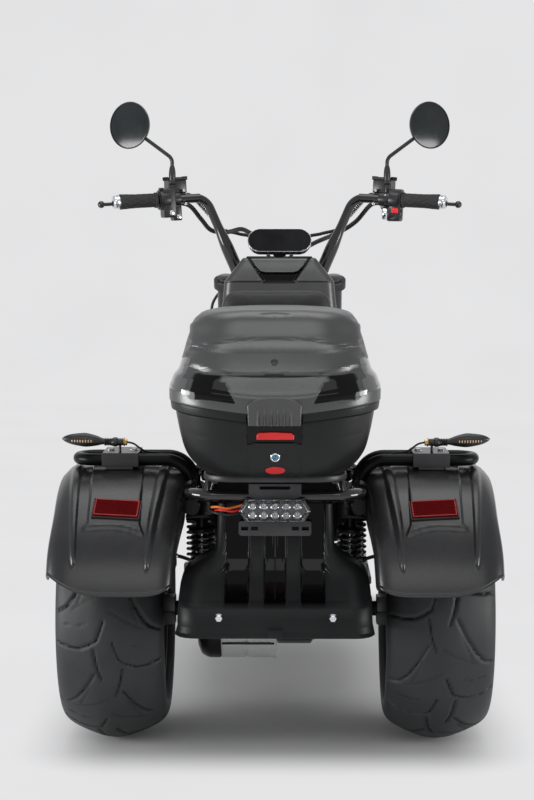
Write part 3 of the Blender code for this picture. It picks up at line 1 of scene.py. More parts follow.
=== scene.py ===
"""Looks of the three-wheeled electric scooter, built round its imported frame.

Lengths are metres, X to the vehicle's right, Y forward, Z up. Each surface is an array of points on a
grid, worked out in one go, and a closed piece is turned so that its faces look outward.
"""
import json
import math
import bpy
import numpy as np
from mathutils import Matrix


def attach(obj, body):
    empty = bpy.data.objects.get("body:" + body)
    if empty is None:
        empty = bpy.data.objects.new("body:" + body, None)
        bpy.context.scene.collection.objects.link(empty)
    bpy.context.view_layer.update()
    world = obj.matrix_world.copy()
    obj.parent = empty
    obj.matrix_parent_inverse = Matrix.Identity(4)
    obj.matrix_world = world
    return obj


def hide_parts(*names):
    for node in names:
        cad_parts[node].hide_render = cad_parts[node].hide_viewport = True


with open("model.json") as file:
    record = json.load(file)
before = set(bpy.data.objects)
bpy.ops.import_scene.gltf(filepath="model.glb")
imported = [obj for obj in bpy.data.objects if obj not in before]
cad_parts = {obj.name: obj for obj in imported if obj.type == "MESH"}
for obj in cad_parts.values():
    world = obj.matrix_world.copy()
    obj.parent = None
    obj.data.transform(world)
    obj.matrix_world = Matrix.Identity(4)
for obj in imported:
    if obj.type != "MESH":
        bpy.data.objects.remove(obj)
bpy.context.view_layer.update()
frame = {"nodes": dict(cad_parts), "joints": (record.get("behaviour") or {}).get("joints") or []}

JOINTS = {joint["name"]: joint for joint in frame["joints"]}
REAR_AXLE = np.array(JOINTS["left_rear_wheel_spin"]["pos_m"]) * (0, 1, 1)
FRONT_AXLE = np.array(JOINTS["front_wheel_spin"]["pos_m"])
STEER_FOOT = np.array(JOINTS["steering_turn"]["pos_m"])
AXIS = np.array(JOINTS["steering_turn"]["axis"])
AHEAD = np.array([0.0, AXIS[2], -AXIS[1]])
TRACK_HALF = abs(JOINTS["left_rear_wheel_spin"]["pos_m"][0])
WHEEL_R = FRONT_AXLE[2]
X, Y, Z = np.eye(3)
SIDES = (("left", -1), ("right", 1))


def at(x, ahead, z):
    """A point given by its distance ahead of the rear axle."""
    return np.array([x, REAR_AXLE[1] + ahead, z], float)


def fore(x, behind, z):
    """A point given by its distance behind the front axle."""
    return np.array([x, FRONT_AXLE[1] - behind, z], float)


def steer(x, ahead, up):
    """A point given in the steering axis's own frame."""
    return STEER_FOOT + x * X + ahead * AHEAD + up * AXIS


def unit(v):
    """The vectors scaled to length 1."""
    v = np.asarray(v, float)
    return v / np.maximum(np.linalg.norm(v, axis=-1, keepdims=True), 1e-12)


def frame_of(origin, z_way, x_hint=(1, 0, 0)):
    """Origin and three axes, the last along z_way and the first near x_hint."""
    z = unit(z_way)
    x = unit(np.asarray(x_hint, float) - np.dot(x_hint, z) * z)
    return np.asarray(origin, float), np.array([x, np.cross(z, x), z])


def place(points, where):
    """Local points carried into a frame: origin + x * first + y * second + z * third axis."""
    origin, axes = where
    return origin + np.asarray(points, float) @ axes


# ---------------------------------------------------------------- meshes
def grid_faces(rows, cols, wrap_rows=False, wrap_cols=False):
    """Quads of a grid: each joins a point to the next in its row and to both in the next row."""
    i, j = np.meshgrid(np.arange(rows if wrap_rows else rows - 1),
        np.arange(cols if wrap_cols else cols - 1), indexing="ij")
    down, right = (i + 1) % rows, (j + 1) % cols
    return np.stack([i * cols + j, i * cols + right, down * cols + right, down * cols + j], -1).reshape(-1, 4)


def put(name, parts, finish, sharp=40, standing_for=(), marks=None, slot=None, body="chassis"):
    """A piece from (points, quads, caps) shells, each turned outward by the sign of its volume.

    Its slot is looked up by its finish unless given, and the result is not kept. It rides on the body, in
    place of the nodes it is standing_for.
    """
    points, faces, base = [], [], 0
    for shell, quads, caps in parts:
        flat = np.asarray(shell, float).reshape(-1, 3)
        quads = np.asarray(quads)
        a, b, c, d = (flat[quads[:, k]] for k in range(4))
        volume = np.einsum("ij,ij->", a, np.cross(b, c)) + np.einsum("ij,ij->", a, np.cross(c, d))
        for cap in caps:
            rim = flat[cap]
            volume += np.einsum("j,ij->", rim[0], np.cross(rim[1:-1], rim[2:]))
        step = 1 if volume >= 0 else -1
        faces += [tuple(q) for q in (quads[:, ::step] + base).tolist()]
        faces += [tuple(int(k) + base for k in cap[::step]) for cap in caps]
        points.append(flat)
        base += len(flat)
    mesh = bpy.data.meshes.new(name)
    mesh.from_pydata(np.concatenate(points).tolist(), [], faces)
    if marks is not None:
        mark = mesh.attributes.new("mark", "FLOAT", "POINT")
        values = np.zeros(len(mesh.vertices), np.float32)
        values[:marks.size] = marks.ravel()
        mark.data.foreach_set("value", values)
    mesh.shade_smooth()
    mesh.set_sharp_from_angle(angle=math.radians(sharp))
    mesh.polygons.foreach_set("use_smooth", [len(face) < 5 for face in faces])
    mesh.materials.append(finish)
    piece = bpy.data.objects.new(name, mesh)
    bpy.context.scene.collection.objects.link(piece)
    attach(piece, body)
    slot or next(name for name, looks in SLOTS.items() if finish in looks)
    if standing_for:
        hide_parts(*standing_for)
    return piece


def steered(*args, **more):
    """A piece on the steered parts."""
    return put(*args, body="steering", **more)


def skinned(rings, closed=False):
    """Shell over rings of equal counts: the ends are capped, or the last ring joins the first."""
    rings = np.asarray(rings, float)
    rows, cols = rings.shape[:2]
    quads = grid_faces(rows, cols, closed, True)
    caps = [] if closed else [np.arange(cols)[::-1], np.arange(cols) + (rows - 1) * cols]
    return rings, quads, caps


def slopes(points):
    """Unit normals of a grid of points, from the cross product of its row and column differences."""
    down = np.gradient(points, axis=0)
    right = np.gradient(points, axis=1)
    return unit(np.cross(right, down))


def border_of(table):
    """The entries round the edge of a table, in order."""
    return np.concatenate([table[0, :-1], table[:-1, -1], table[-1, :0:-1], table[:0:-1, 0]])


def walled(points, thickness, inward):
    """Shell of an open sheet: the grid, every third point of it moved along the normals, and the edge."""
    points, stride = np.asarray(points, float), 3
    rows, cols = points.shape[:2]
    normal = slopes(points)
    middle = (rows // 2, cols // 2)
    if np.dot(normal[middle], np.asarray(inward, float) - points[middle]) < 0:
        normal = -normal
    inner = (points + normal * thickness)[::stride, ::stride]
    count = rows * cols
    inner_rows, inner_cols = inner.shape[:2]
    quads = np.concatenate([grid_faces(rows, cols), grid_faces(inner_rows, inner_cols)[:, ::-1] + count])
    outer_edge = border_of(np.arange(count).reshape(rows, cols))
    inner_edge = border_of(np.arange(inner_rows * inner_cols).reshape(inner_rows, inner_cols) + count)
    outer_edge, inner_edge = np.append(outer_edge, outer_edge[0]), np.append(inner_edge, inner_edge[0])
    strip = [np.concatenate([outer_edge[k * stride:(k + 1) * stride + 1][::-1], inner_edge[k:k + 2]])
        for k in range(len(inner_edge) - 1)]
    return np.concatenate([points.reshape(-1, 3), inner.reshape(-1, 3)]), quads, strip


CORE = 0.0005  # radius left at the axis of a turned solid, where its end cap closes it


def turned(profile, where, facets=48, wrap=False):
    """Profile of (height, radius) turned about the frame's third axis; wrap joins its ends as a ring."""
    profile = np.asarray(profile, float)
    turn = 2 * np.pi * np.arange(facets) / facets
    ring = np.stack([np.cos(turn), np.sin(turn)], -1)
    local = np.empty((len(profile), facets, 3))
    local[..., :2] = profile[:, None, 1:] * ring[None]
    local[..., 2] = profile[:, :1]
    return skinned(place(local, where), wrap)


def eased(profile, edge=0.001, steps=2):
    """The profile with each inner corner rounded: a quadratic arc over edge on both sides of it."""
    profile = np.asarray(profile, float)
    out = [profile[0]]
    for before, corner, after in zip(profile, profile[1:], profile[2:]):
        come, go = before - corner, after - corner
        reach = min(edge, np.linalg.norm(come) * 0.45, np.linalg.norm(go) * 0.45)
        a, b = corner + unit(come) * reach, corner + unit(go) * reach
        t = np.linspace(0, 1, steps + 1)[:, None]
        out += list((1 - t) ** 2 * a + 2 * t * (1 - t) * corner + t ** 2 * b)
    return np.array(out + [profile[-1]])


def knob(profile, where, facets=48, edge=0.001, steps=2):
    """Solid turned from a profile of (height, radius), with rounded corners, closed at both ends."""
    closed = [(profile[0][0], CORE), *profile, (profile[-1][0], CORE)]
    return turned(eased(closed, edge, steps), where, facets)


def hooped(profile, where, facets, edge):
    """Ring turned from a profile of (height, radius) closed on itself, with rounded corners."""
    return turned(eased(profile + profile[:2], edge)[1:-1], where, facets, True)


def smooth(knots, count):
    """Catmull-Rom curve through the knots: count points even in chord length, or at count's own shares."""
    knots = np.asarray(knots, float)
    chord = np.concatenate([[0], np.cumsum(np.linalg.norm(np.diff(knots, axis=0), axis=1))])
    wide = np.concatenate([[2 * knots[0] - knots[1]], knots, [2 * knots[-1] - knots[-2]]])
    where = chord[-1] * (np.linspace(0, 1, count) if np.isscalar(count) else count)
    k = np.clip(np.searchsorted(chord, where, side="right") - 1, 0, len(knots) - 2)
    t = ((where - chord[k]) / (chord[k + 1] - chord[k]))[:, None]
    a, b, c, d = wide[k], wide[k + 1], wide[k + 2], wide[k + 3]
    return 0.5 * (2 * b + (c - a) * t + (2 * a - 5 * b + 4 * c - d) * t ** 2 + (3 * b - a - 3 * c + d)
        * t ** 3)


def bent(corners, radii, step=math.radians(7)):
    """Straight runs joined by arcs: each corner is replaced by a circle tangent to both runs."""
    corners = np.asarray(corners, float)
    out = [corners[0]]
    for before, corner, after, radius in zip(corners, corners[1:], corners[2:], radii):
        come, go = unit(before - corner), unit(after - corner)
        opening = math.acos(np.clip(np.dot(come, go), -1, 1))
        reach = radius / math.tan(opening / 2)
        centre = corner + unit(come + go) * radius / math.sin(opening / 2)
        start, end = corner + come * reach - centre, corner + go * reach - centre
        turn = math.pi - opening
        t = np.linspace(0, 1, max(3, int(turn / step)) + 1)[:, None]
        out += list(centre + (np.sin((1 - t) * turn) * start + np.sin(t * turn) * end) / math.sin(turn))
    return np.array(out + [corners[-1]])


def carried(path):
    """Two cross axes at each station of a path, carried along it without twist."""
    path = np.asarray(path, float)
    way = unit(np.gradient(path, axis=0))
    side = unit(np.cross(way[0], X if abs(way[0][0]) < 0.8 else Z))
    sides = [side]
    for tangent in way[1:]:
        side = unit(side - np.dot(side, tangent) * tangent)
        sides.append(side)
    sides = np.array(sides)
    return sides, np.cross(way, sides)


def swept(path, radius, sides=20, ends=True):
    """Round tube along a path; radius is a number or one for each station, and the ends are domed."""
    path = np.asarray(path, float)
    radius = np.broadcast_to(np.asarray(radius, float), len(path)).copy()
    if ends:
        cut = np.minimum(radius[[0, -1]] * 0.25, 0.002)
        way0, way1 = unit(path[0] - path[1]), unit(path[-1] - path[-2])
        path = np.concatenate([path[:1], [path[0] - way0 * cut[0]], path[1:-1], [path[-1] - way1 * cut[1]],
            path[-1:]])
        radius = np.concatenate([[radius[0] - cut[0]], radius[:1], radius[1:-1], radius[-1:],
            [radius[-1] - cut[1]]])
    across, over = carried(path)
    turn = 2 * np.pi * np.arange(sides) / sides
    rings = path[:, None] + radius[:, None, None] * (np.cos(turn)[None, :, None] * across[:, None]
        + np.sin(turn)[None, :, None] * over[:, None])
    return skinned(rings)


def coil(foot, head, radius, wire, turns):
    """Helical spring between two points: its wire's line is foot + height + radius * (cos, sin)."""
    origin, axes = frame_of(foot, head - foot)
    t = np.linspace(0, 1, int(turns * 22))
    turn = 2 * np.pi * turns * t
    length = np.linalg.norm(head - foot)
    line = np.stack([radius * np.cos(turn), radius * np.sin(turn), length * t], -1)
    return swept(place(line, (origin, axes)), wire, 8)


def outline_of(half_x, low, high, corner_low, corner_high, steps=8, straight=1):
    """Rounded rectangle, counter-clockwise, with its own corner radii at its low and high sides."""
    spots = [(half_x - corner_low, low + corner_low, corner_low, -90),
        (half_x - corner_high, high - corner_high, corner_high, 0),
        (corner_high - half_x, high - corner_high, corner_high, 90),
        (corner_low - half_x, low + corner_low, corner_low, 180)]
    out = []
    for k, (cx, cy, radius, start) in enumerate(spots):
        angle = np.radians(start + 90 * np.arange(steps + 1) / steps)
        arc = np.stack([cx + radius * np.cos(angle), cy + radius * np.sin(angle)], -1)
        nx, ny, nr, ns = spots[(k + 1) % 4]
        first = np.array([nx + nr * math.cos(math.radians(ns)), ny + nr * math.sin(math.radians(ns))])
        out.append(arc)
        out.append(arc[-1] + (first - arc[-1]) * (np.arange(1, straight) / straight)[:, None])
    return np.concatenate(out)


def mirrored(half):
    """Outline of both sides: the half's points, and their mirror images in the opposite order."""
    return half + [(-x, y) for x, y in reversed(half) if x]


def inset(outline, amount):
    """The outline moved in along its own normals."""
    before, after = np.roll(outline, 1, 0), np.roll(outline, -1, 0)
    way = unit(unit(outline - before) + unit(after - outline))
    return outline + amount * np.stack([-way[:, 1], way[:, 0]], -1)


def slab(outline, low, high, where, edge=0.001, steps=2):
    """Outline in the frame's XY, thick from low to high, with quarter circles at the edges of both faces."""
    outline = np.asarray(outline, float)
    quarter = np.linspace(0, np.pi / 2, steps + 1)
    rings = [(edge * (1 - np.sin(q)), low + edge * (1 - np.cos(q))) for q in quarter]
    rings += [(edge * (1 - np.cos(q)), high - edge * (1 - np.sin(q))) for q in quarter]
    out = []
    for amount, height in rings:
        flat = inset(outline, amount)
        out.append(np.column_stack([flat, np.full(len(flat), height)]))
    return skinned(place(np.array(out), where))


def block(low, high, where=None, edge=0.0015, corner=None):
    """Box between two corners with rounded edges."""
    low, high = np.asarray(low, float), np.asarray(high, float)
    size = high - low
    corner = min(size[0], size[1]) * 0.12 if corner is None else corner
    where = where or (np.zeros(3), np.eye(3))
    outline = outline_of(size[0] / 2, low[1], high[1], corner, corner, 4) + [(low[0] + high[0]) / 2, 0]
    return slab(outline, low[2], high[2], where, edge)


def lofted(rows, count, straight=6):
    """Rounded-rectangle rings over smoothed rows of height, half-width, rear, front and corner."""
    rows = smooth(rows, count)
    rings = [np.column_stack([outline_of(half, rear, front, corner, min(corner, 0.06), 8, straight),
        np.full(4 * (8 + straight), z)]) for z, half, rear, front, corner in rows]
    return np.array(rings) + at(0, 0, 0)


def bolt(where, radius=0.005, tall=0.004):
    """Hexagon head on a washer; its top is chamfered."""
    washer = turned(eased([(0, 0.0005), (0, radius * 1.5), (tall * 0.25, radius * 1.5),
        (tall * 0.25, 0.0005)], 0.0004), where, 24)
    turn = np.radians(60 * np.arange(6))
    ring = np.stack([np.cos(turn), np.sin(turn)], -1)
    rings = [np.column_stack([ring * radius * s, np.full(6, h)])
        for s, h in ((1.15, tall * 0.2), (1.15, tall * 0.9), (0.95, tall))]
    return [washer, skinned(place(np.array(rings), where))]


# ---------------------------------------------------------------- materials
class Value:
    """A shader socket that can be added, multiplied and so on like a number."""

    def __init__(self, look, socket):
        self.look = look
        self.socket = socket

    def op(self, operation, *others, swap=False):
        """The result of a Math node on this value and the others."""
        terms = [self, *others]
        if swap:
            terms = terms[::-1]
        return self.look.node("ShaderNodeMath", {"operation": operation}, dict(enumerate(terms)))

    def __add__(self, other):
        return self.op("ADD", other)

    def __sub__(self, other):
        return self.op("SUBTRACT", other)

    def __rsub__(self, other):
        return self.op("SUBTRACT", other, swap=True)

    def __mul__(self, other):
        return self.op("MULTIPLY", other)

    def __truediv__(self, other):
        return self.op("DIVIDE", other)

    def __rtruediv__(self, other):
        return self.op("DIVIDE", other, swap=True)

    def __pow__(self, other):
        return self.op("POWER", other)

    def step(self, low, high):
        """0 below low, 1 above high, smooth between."""
        return self.look.node("ShaderNodeMapRange", {"interpolation_type": "SMOOTHSTEP"},
            {"Value": self, "From Min": low, "From Max": high})

    __radd__ = __add__
    __rmul__ = __mul__


class Look:
    """A procedural material; its pattern lies in the object's own coordinates."""

    def __init__(self, name):
        self.material = bpy.data.materials.new(name)
        self.material.use_nodes = True
        self.tree = self.material.node_tree
        self.tree.nodes.clear()
        self.place = self.node("ShaderNodeTexCoord", out="Object")

    def node(self, kind, settings=None, values=None, out=0):
        """A node of this type with its settings, and its inputs set or linked; its output as a Value."""
        node = self.tree.nodes.new(kind)
        for key, setting in (settings or {}).items():
            setattr(node, key, setting)
        for key, value in (values or {}).items():
            if isinstance(value, Value):
                self.tree.links.new(value.socket, node.inputs[key])
            else:
                node.inputs[key].default_value = value
        return Value(self, node.outputs[out])

    def noise(self, scale, detail=3, stretch=(1, 1, 1)):
        """Cloudy pattern from 0 to 1 with this many waves a metre."""
        spot = self.node("ShaderNodeMapping", None, {0: self.place, "Scale": stretch})
        return self.node("ShaderNodeTexNoise", None, {"Vector": spot, "Scale": scale, "Detail": detail})

    def cells(self, scale, feature="F1"):
        """Distance to the nearest of scattered points, or to the borders between them."""
        return self.node("ShaderNodeTexVoronoi", {"feature": feature},
            {"Vector": self.place, "Scale": scale}, "Distance")

    def mark(self):
        """The piece's own mark, given point by point."""
        return self.node("ShaderNodeAttribute", {"attribute_name": "mark"}, out="Fac")

    def blend(self, low, high, share):
        """Colour mixed from low to high by share."""
        return self.node("ShaderNodeMix", {"data_type": "RGBA"},
            {0: share, 6: (*low, 1) if isinstance(low, tuple) else low, 7: (*high, 1)
            if isinstance(high, tuple) else high}, 2)

    def bump(self, height, strength, distance=0.001):
        """Normal bent by a height."""
        return self.node("ShaderNodeBump", None, {"Height": height, "Strength": strength,
            "Distance": distance})

    def done(self, **sockets):
        """The Principled shader with these sockets; an underscore in a name stands for a space."""
        values = {key.replace("_", " "): value for key, value in sockets.items()}
        colour = values.get("Base Color")
        if isinstance(colour, tuple) and len(colour) == 3:
            values["Base Color"] = (*colour, 1)
        shader = self.node("ShaderNodeBsdfPrincipled", None, values)
        self.tree.links.new(shader.socket, self.tree.nodes.new("ShaderNodeOutputMaterial").inputs["Surface"])
        return self.material


def plain(name, low, high, rough, spread=0.06, grain=900, strength=0.1, metal=0.0, coat=0.0, cloud=14,
        **more):
    """A surface with a cloudy tone, a cloudy roughness and a fine grain."""
    look = Look(name)
    tone = look.noise(cloud, 5)
    fine = look.noise(grain, 2)
    roughness = (tone - 0.5) * (2 * spread) + (fine - 0.5) * spread + rough
    return look.done(Base_Color=look.blend(low, high, tone.step(0.3, 0.7)), Roughness=roughness,
        Metallic=metal, Coat_Weight=coat, Normal=look.bump(fine, strength, 0.0006), **more)


def tread_rubber():
    """Tyre rubber: bluish grey with a cloudy tone, blended toward near black where the mark says there is a
    groove, as painted shade in the grooves.
    """
    look = Look("tread_rubber")
    mark, dust, fine = look.mark(), look.noise(22, 5), look.noise(1500, 2)
    worn = look.blend((0.011, 0.012, 0.0134), (0.017, 0.0183, 0.02), dust.step(0.3, 0.7))
    # The groove mark blends the colour toward near black: painted shade in the grooves.
    return look.done(Base_Color=look.blend(worn, (0.003, 0.0032, 0.0035), mark.step(0.05, 0.6)),
        Roughness=(dust - 0.5) * 0.16 + 0.56, Normal=look.bump(fine + dust * 0.4, 0.22, 0.0005))


def leather(name):
    """Grained vinyl: pebbles between fine creases, with painted shade making the creases darker."""
    look = Look(name)
    crease, cloud = look.cells(330, "DISTANCE_TO_EDGE"), look.noise(9, 4)
    pebble = crease.step(0.0, 0.22)
    # Colour darker toward the creases: painted shade.
    return look.done(Base_Color=look.blend((0.01, 0.01, 0.011), (0.022, 0.022, 0.024),
        pebble * 0.7 + cloud * 0.3), Roughness=0.62 - pebble * 0.16 + (cloud - 0.5) * 0.1,
        Normal=look.bump(pebble + look.noise(1400, 2) * 0.2, 0.34, 0.001))


def moulded(name, grain=620, gloss=0.42, strength=0.3, ior=1.45, sheen=0.0):
    """Grained black plastic: polished as the mark nears 1, glassy black at -1 (the lid's real dark glass, and
    painted shade in pockets and channels), and paler with more sheen.
    """
    look = Look(name)
    mark, cloud, fine = look.mark(), look.noise(7, 5), look.noise(grain, 3)
    # black: near-black colour for the lid's dark glass, and painted shade in the pockets and channels.
    shine, black, satin = mark.step(0.6, 0.9), (mark * -1).step(0.2, 0.8), mark.step(0.0, 1.0)
    low, high = ([0.0085 + 0.096 * sheen + k * 0.0005 for k in range(3)],
        [0.014 + 0.11 * sheen + k * 0.0006 for k in range(3)])
    tone = look.blend(tuple(low), tuple(high), cloud.step(0.3, 0.7))
    worn = (gloss + (cloud - 0.5) * 0.1 + (fine - 0.5) * 0.08) * (1 - satin * 0.55)
    plain_share = (1 - black) * (1 - shine)
    return look.done(Base_Color=look.blend(tone, (0.0015, 0.0015, 0.0018), black),
        Metallic=(1 - black) * (0.8 * sheen), Roughness=worn * plain_share + (1 - plain_share) * 0.07,
        Coat_Weight=shine, Coat_IOR=1.9, IOR=ior, Normal=look.bump(fine * plain_share, strength, 0.0007))


def reflector_red():
    """Red reflector: rows of small prisms under a smoky face."""
    look = Look("reflector_red")
    cell, fine = look.cells(260), look.noise(40, 3)
    return look.done(Base_Color=look.blend((0.03, 0.0004, 0.0008), (0.085, 0.001, 0.0016),
        cell.step(0.05, 0.5)), Roughness=0.55 + fine * 0.15, IOR=1.1, Normal=look.bump(cell, 0.3, 0.0008))


def brushed(name, low, high, rough, way):
    """Machined metal with fine lines along one of its axes."""
    look = Look(name)
    lines, cloud = look.noise(60, 6, way), look.noise(12, 3)
    return look.done(Base_Color=look.blend(low, high, lines.step(0.25, 0.75)), Metallic=1.0,
        Roughness=rough + (lines - 0.5) * 0.18 + (cloud - 0.5) * 0.08,
        Normal=look.bump(lines, 0.15, 0.0004))


def clear(name, tint):
    """Clear moulded lens, faintly rippled."""
    look = Look(name)
    ripple = look.noise(160, 2)
    return look.done(Base_Color=look.blend(tint, (1.0, 1.0, 1.0), ripple), Roughness=ripple * 0.05 + 0.01,
        Transmission_Weight=1.0, IOR=1.45, Normal=look.bump(ripple, 0.08, 0.001))


def led_strip():
    """Row of pale diodes 5.2 mm apart behind a smoked face."""
    look = Look("led_strip")
    across = look.node("ShaderNodeSeparateXYZ", None, {0: look.place}, "X")
    dots = (across * (2 * math.pi / 0.0052)).op("SINE").step(0.35, 0.75)
    fine = look.noise(700, 2)
    return look.done(Base_Color=look.blend((0.055, 0.03, 0.012), (0.85, 0.62, 0.4),
        dots * (0.5 + fine * 0.8)), Roughness=fine * 0.2 + 0.15, Normal=look.bump(dots, 0.3, 0.0008))


def disc_steel():
    """Brake disc: fine turned rings."""
    look = Look("disc_steel")
    rings, cloud = look.noise(300, 2, (0.05, 1, 1)), look.noise(10, 3)
    return look.done(Base_Color=look.blend((0.3, 0.3, 0.31), (0.48, 0.48, 0.49), rings), Metallic=1.0,
        Roughness=0.28 + cloud * 0.12, Normal=look.bump(rings, 0.1, 0.0003))


def lock_blue():
    """Bluish face of a lock barrel."""
    look = Look("lock_face")
    cloud = look.noise(300, 3)
    return look.done(Base_Color=look.blend((0.05, 0.16, 0.25), (0.14, 0.3, 0.42), cloud.step(0.3, 0.7)),
        Metallic=0.8, Roughness=cloud * 0.2 + 0.18)


RUBBER = tread_rubber()
VINYL = leather("vinyl")
SATIN = plain("satin_paint", (0.0045, 0.0047, 0.0051), (0.008, 0.0082, 0.0088), 0.28, 0.05, 1300, 0.08,
    IOR=1.32)
FENDER = plain("fender_paint", (0.012, 0.0122, 0.013), (0.017, 0.0173, 0.0185), 0.27, 0.03, 1300, 0.05)
GLOSS = plain("gloss_paint", (0.006, 0.006, 0.007), (0.011, 0.011, 0.012), 0.1, 0.03, 500, 0.02, coat=0.5)
GRAINED = moulded("grained_plastic", ior=1.27)
CASE = moulded("case_plastic", 760, 0.34, 0.22, 1.3, 1.0)
CASE_LOWER = moulded("case_lower_plastic", 760, 0.38, 0.22, 1.34)
RAIL_PAINT = plain("rail_paint", (0.0035, 0.0036, 0.004), (0.006, 0.0062, 0.0068), 0.3, 0.05, 1300, 0.05,
    IOR=1.22)
SMOOTH = plain("smooth_plastic", (0.012, 0.012, 0.013), (0.02, 0.02, 0.022), 0.3, 0.06, 900, 0.08)
GRIP = plain("grip_rubber", (0.01, 0.01, 0.011), (0.02, 0.02, 0.021), 0.66, 0.08, 1500, 0.35)
CHROME = plain("chrome", (0.62, 0.63, 0.65), (0.8, 0.81, 0.83), 0.1, 0.05, 700, 0.02, metal=1.0)
SILVER = brushed("machined_alloy", (0.5, 0.5, 0.51), (0.72, 0.72, 0.73), 0.34, (0.1, 3, 3))
STEEL = plain("dull_steel", (0.03, 0.03, 0.032), (0.052, 0.052, 0.055), 0.4, 0.08, 900, 0.15, metal=0.3)
PALE = plain("pale_alloy", (0.86, 0.86, 0.86), (0.95, 0.95, 0.95), 0.4, 0.09, 900, 0.06)
CAST = plain("black_alloy", (0.02, 0.02, 0.022), (0.04, 0.04, 0.043), 0.38, 0.08, 800, 0.2, metal=0.5)
BRASS = plain("brass", (0.42, 0.27, 0.09), (0.66, 0.46, 0.18), 0.3, 0.1, 700, 0.08, metal=1.0)
RED = reflector_red()
CLEAR = clear("clear_lens", (0.96, 0.98, 1.0))
# Near-black glass standing in for the mirror's reflection of the dark room: painted reflection.
MIRROR_PAINTED_REFLECTION = plain("mirror_glass", (0.007, 0.01, 0.011), (0.013, 0.017, 0.018), 0.14, 0.04, 300, 0.004,
    cloud=26)
SCREEN = plain("screen_glass", (0.004, 0.004, 0.005), (0.01, 0.01, 0.012), 0.1, 0.02, 300, 0.01, IOR=1.3)
AMBER = led_strip()
RED_DOT = plain("red_prism", (0.34, 0.01, 0.012), (0.5, 0.02, 0.022), 0.4, 0.1, 900, 0.1)
RED_BAR = plain("red_button", (0.62, 0.016, 0.016), (0.8, 0.03, 0.03), 0.3, 0.05, 600, 0.05)
ORANGE = plain("orange_sleeve", (0.7, 0.13, 0.02), (0.85, 0.22, 0.04), 0.45, 0.08, 800, 0.12)
HOSE = plain("hose_rubber", (0.008, 0.008, 0.009), (0.017, 0.017, 0.018), 0.5, 0.1, 2200, 0.35)
DISC_STEEL = disc_steel()
LOCK_BLUE = lock_blue()
SLOTS = {"tyre": [RUBBER], "black_alloy": [CAST], "steel": [DISC_STEEL, STEEL, CHROME, BRASS, LOCK_BLUE],
    "black_paint": [FENDER, RAIL_PAINT, SATIN, GLOSS], "black_plastic": [SMOOTH, HOSE, GRAINED, CASE_LOWER,
    CASE], "red_lens": [RED, RED_DOT, RED_BAR], "clear_lens": [AMBER, CLEAR], "alloy": [PALE, SILVER],
    "grip_rubber": [GRIP], "gloss_black": [MIRROR_PAINTED_REFLECTION, SCREEN], "seat_cover": [VINYL]}


# ---------------------------------------------------------------- wheels
TYRE_HALF, RIM_R, BEAD_R, HUB_R, SPINDLE_R = 0.098, 0.165, 0.1534, 0.036, 0.0145
DISC_R, DISC_AT = 0.105, 0.072
# grooves: half-width, depth, then points as share of the tyre's half-width and degrees round it
BOLD, THIN = (0.0024, 0.004), (0.0012, 0.0018)
STROKES_A = [(BOLD, (0.08, 0), (0.14, 4), (0.21, 8.5)), (BOLD, (0.21, 8.5), (0.34, 10.5), (0.52, 12.5),
    (0.72, 12.8), (0.97, 11.5)), (BOLD, (0.27, 12.5), (0.245, 17), (0.2, 22), (0.13, 26.5)),
    (THIN, (0.42, 1.5), (0.6, 2.6), (0.82, 2.2))]
STROKES_B = [(BOLD, (0.27, 0), (0.46, 8.5), (0.66, 16.5), (0.8, 20.5), (0.97, 22.5)),
    (THIN, (0.36, 7), (0.47, 13), (0.57, 19)), (THIN, (0.02, 13), (0.3, 17), (0.66, 21.5))]
PITCH = 360 / 7


def near_line(points, line):
    """Distance of each point to an open run of segments."""
    line = np.asarray(line, float)
    a, run = line[:-1], np.diff(line, axis=0)
    gap = points[..., None, :] - a
    t = np.clip((gap * run).sum(-1) / np.maximum((run ** 2).sum(-1), 1e-12), 0, 1)
    return np.linalg.norm(gap - t[..., None] * run, axis=-1).min(-1)


def signed(points, corners):
    """Distance to a polygon's edge, positive inside."""
    corners = np.asarray(corners, float)
    edge = near_line(points, np.concatenate([corners, corners[:1]]))
    x, y = points[..., 0], points[..., 1]
    inside = np.zeros(x.shape, bool)
    for (x0, y0), (x1, y1) in zip(corners, np.roll(corners, -1, 0)):
        crosses = (y0 > y) != (y1 > y)
        inside ^= crosses & (x < (x1 - x0) * (y - y0) / (y1 - y0 if y1 != y0 else 1) + x0)
    return np.where(inside, edge, -edge)


def ramp(value, low, high):
    """0 below low and 1 above high, 3t^2 - 2t^3 between."""
    t = np.clip((np.asarray(value, float) - low) / (high - low), 0, 1)
    return t * t * (3 - 2 * t)


def groove_depth(across, degrees, start_in, start_out):
    """Depth of the tread's grooves, and the share of painted shade in them: the deepest of 1 - (distance /
    half-width)^4 of the strokes.
    """
    depth = np.zeros(across.shape)
    shade = np.zeros(across.shape)
    arc = WHEEL_R * math.pi / 180
    for side, start in ((-1, start_in), (1, start_out)):
        for strokes, first in ((STROKES_A, start), (STROKES_B, start - PITCH * 0.525)):
            turned_by = (degrees - first + 8) % PITCH - 8
            for (half, deep), *line in strokes:
                spots = np.array([(side * s * TYRE_HALF, d * arc) for s, d in line])
                for shift in (0, PITCH):
                    far = near_line(np.stack([across, (turned_by + shift) * arc], -1), spots)
                    share = ramp(1 - far / (half * 1.5), 0, 0.7)
                    depth = np.maximum(depth, deep * share)
                    # Painted shade in the grooves, stronger in the deep, bold ones.
                    shade = np.maximum(shade, share * (0.9 if deep > 0.003 else 0.55))
    return depth, shade


